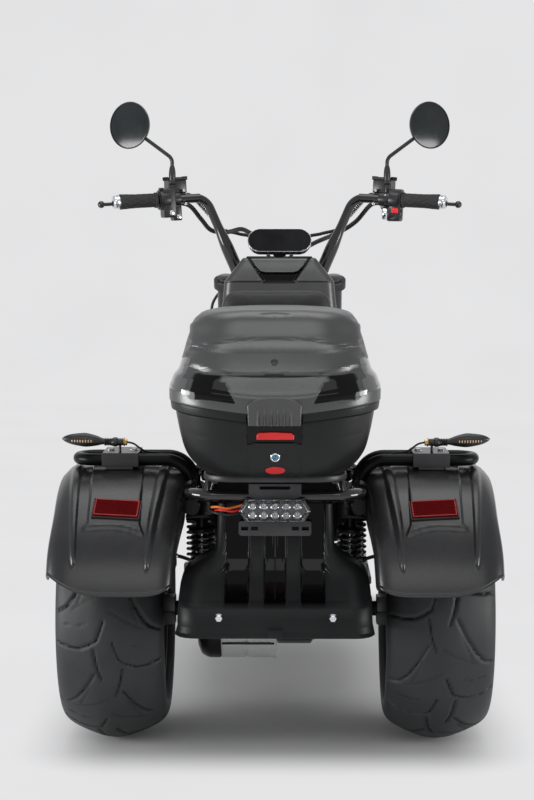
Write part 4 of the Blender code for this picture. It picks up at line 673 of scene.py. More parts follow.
def tyre(prefix, centre, facing, start_in, start_out, rows, cols):
    """Tyre: its section swept round the axle, with the tread's grooves sunk along the section's normal and
    painted shade in them.
    """
    section = [(.0694, .1537), (.0794, .1537), (.0805, .1665), (.0930, .1740), (.1005, .1830),
        (.1018, .1925), (.1000, .2025), (.0945, .2125), (.0830, .2225), (.0640, .2325), (.0450, .2405),
        (.0225, .2477)]
    section = np.array(section[1:] + [(0, .25)] + [(-x, r) for x, r in section[:0:-1]])
    outer = smooth(section, cols)
    turn = 2 * np.pi * np.arange(rows) / rows
    way = unit(np.gradient(outer, axis=0))
    normal = np.stack([-way[:, 1], way[:, 0]], -1)
    normal *= np.sign(normal[cols // 2, 1])
    across = np.broadcast_to(outer[:, 0], (rows, cols))
    depth, shade = groove_depth(across * facing, np.broadcast_to(np.degrees(turn)[:, None], (rows, cols)),
        start_in, start_out)
    tread = ramp(outer[:, 1], 0.178, 0.196)[None]
    depth, shade = depth * tread, shade * tread
    seam = np.exp(-((outer[:, 0] / 0.0009) ** 2)) * 0.0003
    lines = 0.0006 * sum(np.exp(-(((outer[:, 1] - r) / 0.0012) ** 2)) for r in (0.172, 0.181, 0.189))
    x = across - depth * normal[:, 0]
    r = outer[:, 1] - depth * normal[:, 1] + seam + lines * normal[:, 1]
    x = x + lines * normal[:, 0]
    grid = np.stack([x, -r * np.cos(turn)[:, None], -r * np.sin(turn)[:, None]], -1) + centre
    quads = grid_faces(rows, cols, True, True)
    # The shade marks darken the grooves' colour as painted shade.
    put(prefix + "_tyre_tread", [(grid, quads, [])], RUBBER, 60, [prefix + "_tyre"], shade,
        body=prefix + "_wheel")


def rim(prefix, centre, facing):
    """Cast wheel: turned well and flanges, hub, five swelling spokes, and the brake disc."""
    where = frame_of(centre, facing * X, Y)
    flange, well = 0.08, BEAD_R - 0.015
    profile = [(-0.088, RIM_R), (-flange, RIM_R), (-flange, BEAD_R - 0.0004), (-0.06, BEAD_R - 0.004),
        (-0.038, well), (0.038, well), (0.06, BEAD_R - 0.004), (flange, BEAD_R - 0.0004), (flange, RIM_R),
        (0.088, RIM_R), (0.088, RIM_R - 0.007), (0.042, well - 0.007), (-0.042, well - 0.007),
        (-0.088, RIM_R - 0.007)]
    profile = eased(profile + profile[:2], 0.003)[1:-1]
    parts = [turned(profile, where, 128, True)]
    bore = SPINDLE_R + 0.001
    hub = [(-0.095, bore), (-0.095, HUB_R - 0.006), (-0.089, HUB_R), (0.06, HUB_R), (0.07, HUB_R - 0.01),
        (0.07, bore)]
    parts.append(hooped(hub, where, 64, 0.003))
    rows = smooth([(HUB_R - 0.006, 0.02, 0.014, 0.046), (0.06, 0.014, 0.019, 0.042),
        (0.085, 0.013, 0.02, 0.04), (0.115, 0.0155, 0.017, 0.037), (well - 0.004, 0.026, 0.013, 0.034)], 18)
    for k in range(5):
        turn = 2 * math.pi * k / 5 + 0.3
        along, beside = np.array([math.cos(turn), math.sin(turn), 0]), np.array(
            [-math.sin(turn), math.cos(turn), 0])
        rings = []
        for radius, half, low, high in rows:
            ring = outline_of(half, low, high, 0.004, 0.007, 4)
            rings.append(radius * along + ring[:, :1] * beside + ring[:, 1:] * Z)
        parts.append(skinned(place(np.array(rings), where)))
    put(prefix + "_cast_wheel", parts, CAST, 35, [prefix + "_rim"], body=prefix + "_wheel")
    thick = 0.002
    plate = [(-DISC_AT - thick, 0.07), (-DISC_AT - thick, DISC_R), (-DISC_AT + thick, DISC_R),
        (-DISC_AT + thick, 0.07)]
    disc = [hooped(plate, where, 96, 0.0004)]
    carrier = [(-DISC_AT - thick, HUB_R - 0.004), (-DISC_AT - thick, 0.06), (-DISC_AT + thick, 0.06),
        (-DISC_AT + thick, HUB_R - 0.004)]
    disc.append(turned(carrier, where, 64, True))
    for k in range(6):
        turn = 2 * math.pi * k / 6
        out = np.array([math.cos(turn), math.sin(turn), 0])
        arm = frame_of(place(out * 0.064 - Z * DISC_AT, where), place(Z, (np.zeros(3), where[1])),
            place(out, (np.zeros(3), where[1])))
        disc.append(block((-0.012, -0.007, -0.0019), (0.012, 0.007, 0.0019), arm, 0.0004))
    put(prefix + "_brake_disc", disc, DISC_STEEL, 35, body=prefix + "_wheel")


def wheels():
    """The three wheels."""
    for word, side, start_in, start_out in (("left", -1, 4.6, 46.9), ("right", 1, -18.6, 21.5)):
        centre = REAR_AXLE + side * TRACK_HALF * X
        tyre(word + "_rear", centre, side, start_in, start_out, 440, 96)
        rim(word + "_rear", centre, side)
    tyre("front", FRONT_AXLE, 1, 0.0, 25.0, 320, 56)
    rim("front", FRONT_AXLE, 1)


# ---------------------------------------------------------------- rear bodywork
FENDER_IN, FENDER_OUT, FENDER_R, FENDER_SHIFT = TRACK_HALF - 0.13, TRACK_HALF + 0.11, WHEEL_R + 0.033, 0.048
RAIL_Z, RACK_TUBE, RAIL_BACK, RAIL_FORE = WHEEL_R + FENDER_R + 0.019, 0.0115, 0.083, 0.007
FRAME_Z, FRAME_HALF, TUBE = 0.465, TRACK_HALF - 0.15, 0.017


def fender(word, side):
    """Rear fender: a section swept over the wheel, raised by two pointed ribs and a framed middle panel."""
    a, b = FENDER_IN, FENDER_OUT
    section = [(a + 0.003, -0.05), (a, -0.03), (a + 0.003, -0.016), (a + 0.011, -0.006),
        (a + 0.025, -0.0005), (a + 0.05, 0.002), ((a + b) / 2, 0.003), (b - 0.05, 0.001),
        (b - 0.025, -0.003), (b - 0.01, -0.011), (b - 0.002, -0.024), (b, -0.06)]
    columns = smooth(section, 181)
    x, rise = columns[:, 0], columns[:, 1]
    share = np.concatenate([np.linspace(0, 0.03, 11), np.linspace(0.03, 0.6, 84)[1:],
        np.linspace(0.6, 1.0, 40)[1:]])[:, None]
    middle = (a + b) / 2
    spread = np.interp(share, [0, 0.12, 0.27, 1], [-0.004, -0.0008, 0.012, 0.012])
    x = x - spread * (1 - ramp(x, a, a + 0.06)) - 0.006 * ramp(share, 0.05, 0.3) * ramp(x, b - 0.06, b)
    rib = np.interp(share, [0, 0.07, 0.12, 0.3, 0.6, 1], [0, 0, 0.0036, 0.0072, 0.0095, 0.0095])
    inner_line = np.interp(share, [0.073, 0.231, 0.357, 0.6, 1], [0.2331, 0.2264, 0.2188, 0.2106, 0.2106])
    outer_line = np.interp(share, [0.09, 0.6, 1], [0.367, 0.382, 0.382])
    lift = 0
    for line in (inner_line, outer_line):
        near = 1 - ramp(np.abs(x - line), rib * 0.45, rib + 0.0035)
        lift = lift + 0.0046 * near * ramp(share, 0.068, 0.1)
    spots = np.stack(np.broadcast_arrays(x, share * 0.45), -1)
    panel = [(0.242, 0.0876), (0.2498, 0.1045), (0.2503, 0.15), (0.2529, 0.265), (0.2529, 0.43),
        (0.348, 0.43), (0.35, 0.265), (0.343, 0.15), (0.3426, 0.1045), (0.353, 0.0952), (0.32, 0.099),
        (0.298, 0.0996), (0.27, 0.096)]
    edge = signed(spots, panel)
    lift = lift + 0.003 * ramp(edge, -0.0026, 0.0018) + 0.001 * np.exp(-(((edge - 0.0008) / 0.0016) ** 2))
    lift = lift + 0.0024 * (1 - ramp(share, 0.005, 0.011))
    off = np.abs(x - middle) / (b - middle)
    droop = np.where(x > middle, 9.8 * off ** 2.6, 6.5 * off ** 6)
    radius = FENDER_R + rise + lift
    angle = np.where(share < 0.6, 180 - (16 + droop) - (74 - droop) * np.minimum(share, 0.6) / 0.6,
        90 - 52 * (share - 0.6) / 0.4)
    centre = -FENDER_SHIFT + (0.02 + FENDER_SHIFT) * ramp(share, 0.585, 0.615) + 0 * angle
    angle = np.radians(angle)
    grid = np.stack([side * x + 0 * angle, REAR_AXLE[1] + centre + radius * np.cos(angle),
        WHEEL_R + radius * np.sin(angle)], -1)
    put(word + "_fender_shell", [walled(grid, 0.004, REAR_AXLE + side * middle * X)], FENDER, 55,
        [word + "_fender"])
    tilt, roll = math.radians(180 - 51.3), side * math.radians(4)
    away = np.array([0, math.cos(tilt), math.sin(tilt)])
    spot = at(side * (TRACK_HALF - 0.0175), -FENDER_SHIFT, WHEEL_R) + away * (FENDER_R + 0.003)
    here = frame_of(spot, away, math.cos(roll) * X + math.sin(roll) * np.cross(away, X))
    frame_line = outline_of(0.045, -0.0235, 0.0235, 0.003, 0.003, 4)
    put(word + "_reflector_frame", [slab(frame_line, 0.0, 0.006, here, 0.0012)], SMOOTH, 35)
    put(word + "_reflector_lens", [slab(inset(frame_line, 0.0022), 0.003, 0.0088, here, 0.0014)], RED, 35,
        [word + "_reflector"])
    dots = []
    for dot_x, dot_y in [(k * 0.0039, v) for k in range(-10, 11) for v in (-0.019, 0.019)] \
            + [(u, k * 0.0038) for k in range(-4, 5) for u in (-0.0398, 0.0398)]:
        dots.append(turned([(0.008, 0.0003), (0.008, 0.0015), (0.0092, 0.0012), (0.0092, 0.0003)],
            (place([dot_x, dot_y, 0], here), here[1]), 10))
    put(word + "_reflector_prisms", dots, RED_DOT, 60)


def fender_rail(word, side):
    """Hairpin tube over a fender, with collars on the frame."""
    foot, end, turn = FRAME_Z + TUBE, FENDER_OUT - 0.029 - RACK_TUBE, 0.48 * (RAIL_BACK - RAIL_FORE)
    spots = [(FRAME_HALF, -RAIL_BACK, foot), (FRAME_HALF, -RAIL_BACK, RAIL_Z), (end, -RAIL_BACK, RAIL_Z),
        (end, -RAIL_FORE, RAIL_Z), (FRAME_HALF, -RAIL_FORE, RAIL_Z), (FRAME_HALF, -RAIL_FORE, foot)]
    path = bent([at(side * x, y, z) for x, y, z in spots], [0.05, turn, turn, 0.05], math.radians(5))
    parts = [swept(path, RACK_TUBE, 28)]
    for y in (-RAIL_BACK, -RAIL_FORE):
        collar = eased([(0, 0.001), (0, 0.016), (0.01, 0.015), (0.012, 0.0118), (0.012, 0.001)], 0.001)
        parts.append(turned(collar, frame_of(at(side * FRAME_HALF, y, foot), Z), 36))
    put(word + "_fender_hairpin", parts, RAIL_PAINT, 40, [word + "_fender_rail"])


def rear_indicator(word, side):
    """Turn signal: a swelling body with a light strip and a ribbed boot, on its stud and nut."""
    top, near, back = RAIL_Z + RACK_TUBE, TRACK_HALF - 0.012, -RAIL_BACK

    def bar_of(inner, outer, low, high):
        """Rounded block between two distances from the middle; low and high are (station, height)."""
        ends = sorted((side * inner, side * outer))
        return block(at(ends[0], *low), at(ends[1], *high), None, 0.0008)

    inner, outer = near - 0.0365, near + 0.033
    put(word + "_clamp_top", [bar_of(inner, outer, (-0.0998, top), (0.0135, top + 0.003))], SATIN, 35)
    clamp = [bar_of(inner, outer, (-0.1035, top - 0.0235), (-0.1, top + 0.003)),
        bar_of(near - 0.02, near + 0.016, (-0.068, WHEEL_R + FENDER_R + 0.003), (-0.022, top + 0.001)),
        bar_of(near - 0.026, near + 0.022, (-0.1025, top - 0.0285), (-0.0985, top - 0.022))]
    put(word + "_clamp_plate", clamp, STEEL, 35)
    for ending, out in (("_inner", near - 0.024), ("_outer", near + 0.02)):
        put(word + "_clamp_bolt" + ending, bolt(frame_of(at(side * out, -0.045, top + 0.003), Z), 0.0055),
            CHROME, 30)
    rows = smooth([(0.014, 0.0078, 0.008, 0.0222), (0.02, 0.0058, 0.0058, 0.0228),
        (0.032, 0.006, 0.0065, 0.0238), (0.045, 0.0098, 0.009, 0.025), (0.06, 0.0128, 0.0114, 0.0262),
        (0.07, 0.0132, 0.0118, 0.0268), (0.092, 0.01, 0.0098, 0.0278), (0.104, 0.0058, 0.0062, 0.0285),
        (0.1105, 0.0012, 0.0015, 0.0288)], 44)
    turn = 2 * np.pi * np.arange(32) / 32
    rings = [[at(side * (near + out), back + hy * math.cos(t), top + over + hz * math.sin(t))
        for t in turn] for out, hz, hy, over in rows]
    ribs = np.linspace(0.016, 0.03, 34)
    boot = [(out, 0.0068 + 0.0011 * math.sin(out * 2 * math.pi / 0.0034)) for out in ribs]
    here = frame_of(at(side * near, back, top + 0.0226), side * X, Z)
    collar = eased([(-0.008, 0.0005), (-0.008, 0.0066), (0.004, 0.007), (0.005, 0.009), (0.012, 0.009),
        (0.014, 0.0072), (0.014, 0.0005)], 0.0008)
    put(word + "_indicator_body", [skinned(rings), turned([(0.016, 0.0005)] + boot + [(0.03, 0.0005)],
        here, 32), turned(collar, here, 32)], SMOOTH, 45, [word + "_rear_indicator"])
    strip = []
    for out, hz, hy, over in smooth([(0.05, 0.0024, 0.0107, 0.0247), (0.06, 0.0027, 0.0118, 0.025),
            (0.07, 0.0027, 0.0123, 0.025), (0.085, 0.0022, 0.0112, 0.0253),
            (0.094, 0.0014, 0.0096, 0.0256)], 30):
        t = np.linspace(-0.9, 0.9, 12)
        front = [(out, -hy * math.cos(a * 0.25), over + hz * math.sin(a * 1.4)) for a in t]
        rear_side = [(out, -hy * 0.5, over + hz * math.sin(a * 1.4)) for a in t[::-1]]
        strip.append([at(side * (near + o), back + y, top + z) for o, y, z in front + rear_side])
    put(word + "_indicator_strip", [skinned(strip)], AMBER, 40)
    stud = frame_of(at(side * near, back, top + 0.002), Z)
    put(word + "_indicator_stud", [turned([(0, 0.0005), (0, 0.0028), (0.02, 0.0028), (0.02, 0.0005)], stud,
        20)], STEEL, 30)
    nut = frame_of(at(side * (near - 0.0075), back, top + 0.0226), -side * X, Z)
    put(word + "_indicator_nut", bolt(nut, 0.0056, 0.0065), BRASS, 30)
    wire = smooth([at(side * (near - 0.012), back, top + 0.0226),
        at(side * (near - 0.026), back + 0.003, top + 0.019), at(side * (near - 0.04), back + 0.01,
        top + 0.008), at(side * (near - 0.052), back + 0.022, top + 0.001),
        at(side * (near - 0.08), back + 0.04, top - 0.006), at(side * (FRAME_HALF + 0.014), back + 0.06,
        RAIL_Z - 0.03), at(side * (FRAME_HALF + 0.012), back + 0.04, FRAME_Z + 0.025)], 50)
    put(word + "_indicator_wire", [swept(wire, 0.0019, 10)], HOSE, 60)


def rear_cover():
    """Cover behind the drive: sections across it, deepest at three channels painted near black as painted
    shade, shouldered, with a lip.
    """
    rows = smooth([(0.254, 0.183, -0.318, 0), (0.261, 0.181, -0.3145, 0), (0.2655, 0.176, -0.309, 0),
        (0.27, 0.1765, -0.3095, 0), (0.274, 0.179, -0.312, 0), (0.29, 0.1785, -0.309, 0),
        (0.304, 0.178, -0.304, 0), (0.312, 0.1775, -0.296, 0.55), (0.32, 0.177, -0.285, 1),
        (0.345, 0.174, -0.262, 1), (0.36, 0.1665, -0.251, 1), (0.374, 0.148, -0.244, 1),
        (0.386, 0.129, -0.2395, 1), (0.4, 0.112, -0.236, 1), (0.44, 0.108, -0.231, 1),
        (0.476, 0.106, -0.228, 1), (0.486, 0.106, -0.226, 1)], 91)
    lines = []
    for z, half, rear, deep in rows:
        corner = 0.014 + 0.028 * float(ramp(half, 0.112, 0.15))
        flat = half - corner
        u = np.linspace(0, 1, 80) ** 1.25 * flat
        turn = np.radians(np.linspace(0, 90, 15))[1:]
        front = -0.165 + 0.025 * float(ramp(half, 0.115, 0.15))
        right = np.concatenate([np.column_stack([u, np.full(80, rear)]),
            np.column_stack([flat + corner * np.sin(turn), rear + corner - corner * np.cos(turn)]),
            np.column_stack([np.full(6, half), np.linspace(rear + corner, front, 7)[1:]])])
        lines.append(np.concatenate([right[:0:-1] * (-1, 1), right]))
    lines = np.array(lines)
    deep = rows[:, 3:]
    x = lines[..., 0]
    channel = np.maximum(1 - ramp(np.abs(x), 0.0185, 0.0225),
        ramp(np.abs(x), 0.0455, 0.049) * (1 - ramp(np.abs(x), 0.0905, 0.0945)))
    ridges = 0.0007 * np.maximum(0, np.cos(x * 2 * np.pi / 0.0046)) ** 6 * (np.abs(x) < 0.0175)
    facing = ramp(-lines[..., 1], 0.2, 0.215)
    shift = (0.0068 * channel + ridges) * deep * facing
    z = np.broadcast_to(rows[:, :1], x.shape)
    grid = np.stack([x, lines[..., 1] + shift, z], -1) + at(0, 0, 0)
    # The channels' negative marks paint them near black: painted shade in the channels.
    sunk = -channel * deep * facing
    put("rear_cover_shell", [walled(grid, 0.0035, at(0, -0.1, 0.36))], GRAINED, 42, ["rear_cover"], sunk)
    heads = []
    for x_at in (-0.1015, 0.1055):
        here = frame_of(at(x_at, -0.3065, 0.288), -Y, X)
        heads += bolt(here, 0.0056, 0.005)
    put("cover_bolts", heads, CHROME, 30)
    tab = block(at(-0.013, -0.3215, 0.2545), at(0.015, -0.3165, 0.268), None, 0.001)
    put("cover_tab", [tab], GRAINED, 35)


# ---------------------------------------------------------------- top case
CASE_HALF, CASE_LOW, CASE_REAR, CASE_FRONT, WALL = 0.2, 0.545, 0.368, 0.015, 0.003
LID_ROWS = [(0.847, 0.06, -0.25, -0.05, 0.05), (0.843, 0.11, -0.285, -0.022, 0.07),
    (0.831, 0.148, -0.305, -0.004, 0.08), (0.798, 0.162, -0.318, 0.004, 0.086),
    (0.77, 0.171, -0.336, 0.009, 0.09), (0.738, 0.182, -0.352, 0.013, 0.094),
    (0.702, 0.1955, -0.363, 0.015, 0.097), (0.695, 0.1985, -0.3665, 0.015, 0.099),
    (0.69, 0.2, -0.368, 0.015, 0.1), (0.678, 0.2, -0.368, 0.015, 0.1),
    (0.6645, 0.1998, -0.3678, 0.015, 0.1), (0.664, 0.199, -0.367, 0.0142, 0.099)]
BASE_ROWS = [(0.545, 0.095, -0.3, -0.04, 0.06), (0.549, 0.128, -0.318, -0.026, 0.07),
    (0.567, 0.153, -0.334, -0.012, 0.08), (0.59, 0.17, -0.346, 0.000, 0.088),
    (0.618, 0.181, -0.354, 0.008, 0.092), (0.64, 0.187, -0.358, 0.012, 0.094),
    (0.646, 0.188, -0.3588, 0.0124, 0.094), (0.6478, 0.1935, -0.3635, 0.0136, 0.097),
    (0.65, 0.196, -0.366, 0.014, 0.098), (0.663, 0.198, -0.367, 0.015, 0.098),
    (0.6637, 0.1972, -0.3662, 0.0142, 0.097)]


NARROWING = ((0.0, 0.96), (0.7, 0.96), (0.8, 0.98), (1.0, 0.98))
LID_ROWS, BASE_ROWS = ([(z, half * float(np.interp(z, *zip(*NARROWING))), *rest)
    for z, half, *rest in rows] for rows in (LID_ROWS, BASE_ROWS))


def rim_rise(points):
    """The case's points with its seam raised toward the sides: up to 13 mm, and 7 mm more at the ends."""
    x, z = np.abs(points[..., 0]), points[..., 2]
    rise = 0.013 * ramp(x, 0.02, 0.16) + 0.007 * ramp(x, 0.14, 0.2)
    points = points.copy()
    points[..., 2] += rise * ramp(z, 0.585, 0.645) * (1 - ramp(z, 0.705, 0.748))
    return points


def case_shell(rows, count, drop, shape, turned_away):
    """Open shell of the case: outer rings pushed along their normals by shape, and plain inner rings, which
    take only the shape's black marks: the lid's dark glass, and painted shade behind the base's pocket.
    """
    outer = rim_rise(lofted(rows, count, 72))
    normal = slopes(outer)
    middle = normal[count // 2, 20]
    normal *= -1 if middle[0] < 0 else 1
    rear = ramp(-normal[..., 1], *turned_away)
    push, mark = shape(outer[..., 0], outer[..., 2], rear)
    pocket = np.where(push < -0.01, push, 0)[..., None]
    outer = outer + normal * (push[..., None] - pocket) - Y * pocket
    inner = np.array(rows) + WALL * np.array([0, -1, 1, -1, -1])
    inner[:-1, 0] += drop
    rings = rim_rise(lofted(inner[::-1], 14, 72))
    # Inner rings keep only the black marks: dark glass on the lid, painted shade at the base's pocket.
    inner_glass_and_shade = shape(rings[..., 0], rings[..., 2], rings[..., 1] - REAR_AXLE[1] < -0.3)[1]
    marks = np.concatenate([mark.ravel(), np.minimum(inner_glass_and_shade, 0).ravel()])
    return skinned(np.concatenate([outer, rings])), marks


def line_cut(d, width, deep):
    """A groove of this width and depth along d = 0: deep * exp(-(d / width)^2)."""
    return -deep * np.exp(-((d / width) ** 2))


def lid_shape(x, z, rear):
    """Push along the normal and polish of the lid: raised middle, shiny band, side windows and creases."""
    spots = np.stack([x, z], -1)
    a = np.abs(x)
    panel = mirrored([(-0.1052, 0.8445), (-0.1313, 0.834), (-0.1538, 0.819), (-0.156, 0.8),
        (-0.1529, 0.7747), (-0.147, 0.747), (-0.1225, 0.7401), (-0.1007, 0.7371), (-0.0468, 0.7338),
        (0, 0.7327)])
    d = signed(spots, panel)
    push = 0.004 * ramp(d, -0.0005, 0.0024) + line_cut(d + 0.0018, 0.0013, 0.0022)
    upper = [(-0.1473, 0.779), (-0.1208, 0.7873), (-0.0934, 0.7926), (-0.0608, 0.7959), (-0.0309, 0.7975),
        (0, 0.798)]
    lower = [(0.127, 0.7735), (0.103, 0.7692), (0.074, 0.7672), (0, 0.7668)]
    band = mirrored(upper) + mirrored(lower)
    d = signed(spots, band)
    crown = 0.7982 - 0.0105 * (a / 0.12) ** 2
    hollow = np.clip((crown - z) / 0.031, 0, 1)
    push = push - 0.0038 * ramp(d, 0, 0.0022) * (1 - hollow) ** 1.5
    mark, dark = 0.5 * ramp(d, 0.0002, 0.0016), 0
    for side in (-1, 1):
        glass = [(side * 0.1495, 0.7377), (side * 0.0939, 0.7327), (side * 0.0681, 0.683),
            (side * 0.0989, 0.6861), (side * 0.153, 0.69), (side * 0.1577, 0.7075)]
        d = signed(spots, glass)
        push = push - 0.0007 * ramp(d, 0, 0.001) + line_cut(d, 0.0009, 0.0012)
        dark = np.maximum(dark, ramp(d, 0.0003, 0.0012))
        window = [(side * 0.1531, 0.767), (side * 0.1714, 0.7585), (side * 0.19, 0.737),
            (side * 0.21, 0.705), (side * 0.19, 0.7045), (side * 0.16, 0.6972), (side * 0.1535, 0.7377)]
        mark = np.maximum(mark, ramp(signed(spots, window), 0.0003, 0.0012))
        crease = near_line(spots, [(side * 0.1095, 0.843), (side * 0.1072, 0.8055)])
        push = push + line_cut(crease, 0.0009, 0.0005)
        fin = near_line(spots, [(side * 0.047, 0.729), (side * 0.047, 0.686)])
        push = push + line_cut(fin, 0.0008, 0.0004)
    slot = 1 - ((x / 0.034) ** 2 + ((z - 0.8357) / 0.003) ** 2)
    push = push - 0.0016 * ramp(slot, 0.0, 0.7)
    lined = (a < 0.066) * ramp(z, 0.684, 0.69) * (1 - ramp(z, 0.726, 0.731))
    lines = 0.00012 * np.sin(x * 2 * np.pi / 0.0042) * lined
    return (push + lines) * rear, (mark * (1 - dark) - dark) * np.maximum(rear, ramp(a, 0.15, 0.16))


def base_shape(x, z, rear):
    """Push and polish of the base: the lock's plate and its seams, the pocket over it painted near black as
    painted shade, side creases.
    """
    a = np.abs(x)
    seam = line_cut(a - 0.0478, 0.001, 0.0013) * ramp(z, 0.548, 0.552) * (1 - ramp(z, 0.645, 0.647))
    pocket = (1 - ramp(a, 0.0468, 0.0486)) * ramp(z, 0.6112, 0.6124) * (1 - ramp(z, 0.6625, 0.6637))
    notch = (1 - ramp(a, 0.0468, 0.0486)) * ramp(z, 0.644, 0.645)
    push = seam - 0.026 * np.maximum(pocket, notch * 0.5)
    for side in (-1, 1):
        crease = near_line(np.stack([x, z], -1), [(side * 0.175, 0.64), (side * 0.1583, 0.6304),
            (side * 0.1443, 0.6247), (side * 0.1278, 0.6215), (side * 0.115, 0.6212)])
        push = push + line_cut(crease, 0.0016, 0.0007)
    # The pocket's mark of -1 paints it near black: painted shade in the recess.
    return push * rear, -1.0 * ramp(pocket, 0.3, 0.8) * (rear > 0.5)


def rear_of(rows, z):
    """Rear face's station at a height."""
    rows = np.array(sorted(rows))
    return float(np.interp(z, rows[:, 0], rows[:, 2]))


def lying_on(rows, x, z, out=0.0):
    """Frame on the case's rear face: X across, Y up the face, Z away from it."""
    slope = (rear_of(rows, z + 0.006) - rear_of(rows, z - 0.006)) / 0.012
    away = unit([0, -1, slope])
    return frame_of(at(x, rear_of(rows, z), z) + away * out, away, X)


def oval(half_x, half_y):
    """Ellipse, counter-clockwise."""
    turn = 2 * np.pi * np.arange(40) / 40
    return np.stack([half_x * np.cos(turn), half_y * np.sin(turn)], -1)


def top_case():
    """Lid, base, latch tongue, lock and the red parts of the case."""
    shell, marks = case_shell(BASE_ROWS, 66, 0.003, base_shape, (0.25, 0.6))
    put("case_base_shell", [shell], CASE_LOWER, 32, ["case_base"], marks)
    shell, marks = case_shell(LID_ROWS, 106, -0.003, lid_shape, (0.04, 0.22))
    put("case_lid_shell", [shell], CASE, 32, ["case_lid"], marks, body="lid")
    rim = at(0, -CASE_REAR, 0)
    bar = [(-0.032, 0.618), (0.0345, 0.618), (0.035, 0.6262), (0.03, 0.6305), (0, 0.632),
        (-0.0285, 0.6308), (-0.032, 0.627)]
    put("case_red_bar", [slab(np.array(bar) - [0, 0.62], 0, 0.018, frame_of(at(0, -0.34, 0.62), -Y, X),
        0.0025, 4)], RED_BAR, 35)
    put("case_red_badge", [slab(oval(0.0176, 0.009), -0.002, 0.0018, lying_on(BASE_ROWS, 0.0011, 0.5605),
        0.001)], RED_BAR, 35)
    lock = lying_on(BASE_ROWS, 0.0011, 0.5858)
    ring = [(-0.002, 0.0058), (-0.002, 0.0094), (0.0018, 0.009), (0.003, 0.0078), (0.0026, 0.0064),
        (0.0012, 0.0058)]
    put("case_lock_ring", [hooped(ring, lock, 48, 0.0005)], CHROME, 40)
    key = turned(eased([(-0.002, 0.0004), (-0.002, 0.006), (0.0012, 0.006), (0.0014, 0.0004)], 0.0004),
        lock, 40)
    put("case_lock_face", [key, block((-0.0006, -0.003, 0.001), (0.0006, 0.003, 0.0018), lock, 0.0002)],
        LOCK_BLUE, 35)
    button = [(-0.001, 0.0004), (-0.001, 0.0088), (0.0012, 0.0084), (0.002, 0.007), (0.0034, 0.0062),
        (0.004, 0.0004)]
    put("case_lid_button", [turned(eased(button, 0.0006), lying_on(LID_ROWS, -0.0003, 0.7536, 0.0022),
        40)], SMOOTH, 45, body="lid")
    turn = np.linspace(0, np.pi, 22)
    outline = np.concatenate([[(-0.0465, 0.644), (0.0465, 0.644)],
        np.column_stack([0.048 * np.cos(turn), 0.6785 + 0.0172 * np.sin(turn)])])
    here = frame_of(rim, -Y, X)
    tongue = [slab(outline, 0.0002, 0.0058, here, 0.002, 4)]
    for x in np.linspace(-0.029, 0.029, 6):
        rows = smooth([(0.6445, 0.0037, 0.0086), (0.653, 0.0034, 0.0086), (0.664, 0.0027, 0.0076),
            (0.674, 0.001, 0.0056)], 16)
        rings = [[(x - w, z, 0.004), (x - w * 0.8, z, (deep + 0.0045) / 2), (x - w * 0.35, z, deep),
            (x + w * 0.35, z, deep), (x + w * 0.8, z, (deep + 0.0045) / 2), (x + w, z, 0.004)]
            for z, w, deep in rows]
        tongue.append(skinned(place(np.array(rings), here)))
    put("case_latch_tongue", tongue, CASE, 40, ["case_latch"], body="lid")


def swollen(name, rings, body, nodes, cap, size=0.005, pressure=4.0, seams=None):
    """A padded piece: its form is remeshed, blown up as cloth, held within cap of where it was, smoothed."""
    piece = put(name + "_form", [skinned(rings)], VINYL, 60, body=body)
    mesh = piece.data
    bpy.data.objects.remove(piece)
    piece = bpy.data.objects.new(name, mesh)
    bpy.context.scene.collection.objects.link(piece)
    remesh = piece.modifiers.new("even", "REMESH")
    remesh.mode = "VOXEL"
    remesh.voxel_size = size
    settle(piece)
    rest = points_of(piece.data)
    cloth = piece.modifiers.new("cloth", "CLOTH")
    cloth.settings.use_pressure = True
    cloth.settings.uniform_pressure_force = pressure
    cloth.settings.effector_weights.gravity = 0
    for step in range(1, 21):
        bpy.context.scene.frame_set(step)
    settle(piece)
    moved = points_of(piece.data) - rest
    length = np.linalg.norm(moved, axis=1, keepdims=True)
    moved *= np.minimum(1, cap / np.maximum(length, 1e-9))
    piece.data.vertices.foreach_set("co", (rest + moved).astype(np.float32).ravel())
    bpy.context.scene.frame_set(1)
    smoother = piece.modifiers.new("even", "SMOOTH")
    smoother.factor = 0.5
    smoother.iterations = 6
    finer = piece.modifiers.new("finer", "SUBSURF")
    finer.levels = finer.render_levels = 1
    settle(piece)
    if seams:
        points = points_of(piece.data)
        normal = np.empty(len(points) * 3, np.float32)
        piece.data.vertices.foreach_get("normal", normal)
        points = points + normal.reshape(-1, 3) * seams(points)[:, None]
        piece.data.vertices.foreach_set("co", points.astype(np.float32).ravel())
    piece.data.shade_smooth()
    piece.data.materials.clear()
    piece.data.materials.append(VINYL)
    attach(piece, body)
    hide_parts(*nodes)


def points_of(mesh):
    """The mesh's vertices as an array."""
    flat = np.empty(len(mesh.vertices) * 3, np.float32)
    mesh.vertices.foreach_get("co", flat)
    return flat.reshape(-1, 3).astype(float)


def settle(piece):
    """Makes the modified mesh the piece's own."""
    mesh = bpy.data.meshes.new_from_object(piece.evaluated_get(bpy.context.evaluated_depsgraph_get()))
    old = piece.data
    piece.modifiers.clear()
    piece.data = mesh
    bpy.data.meshes.remove(old)


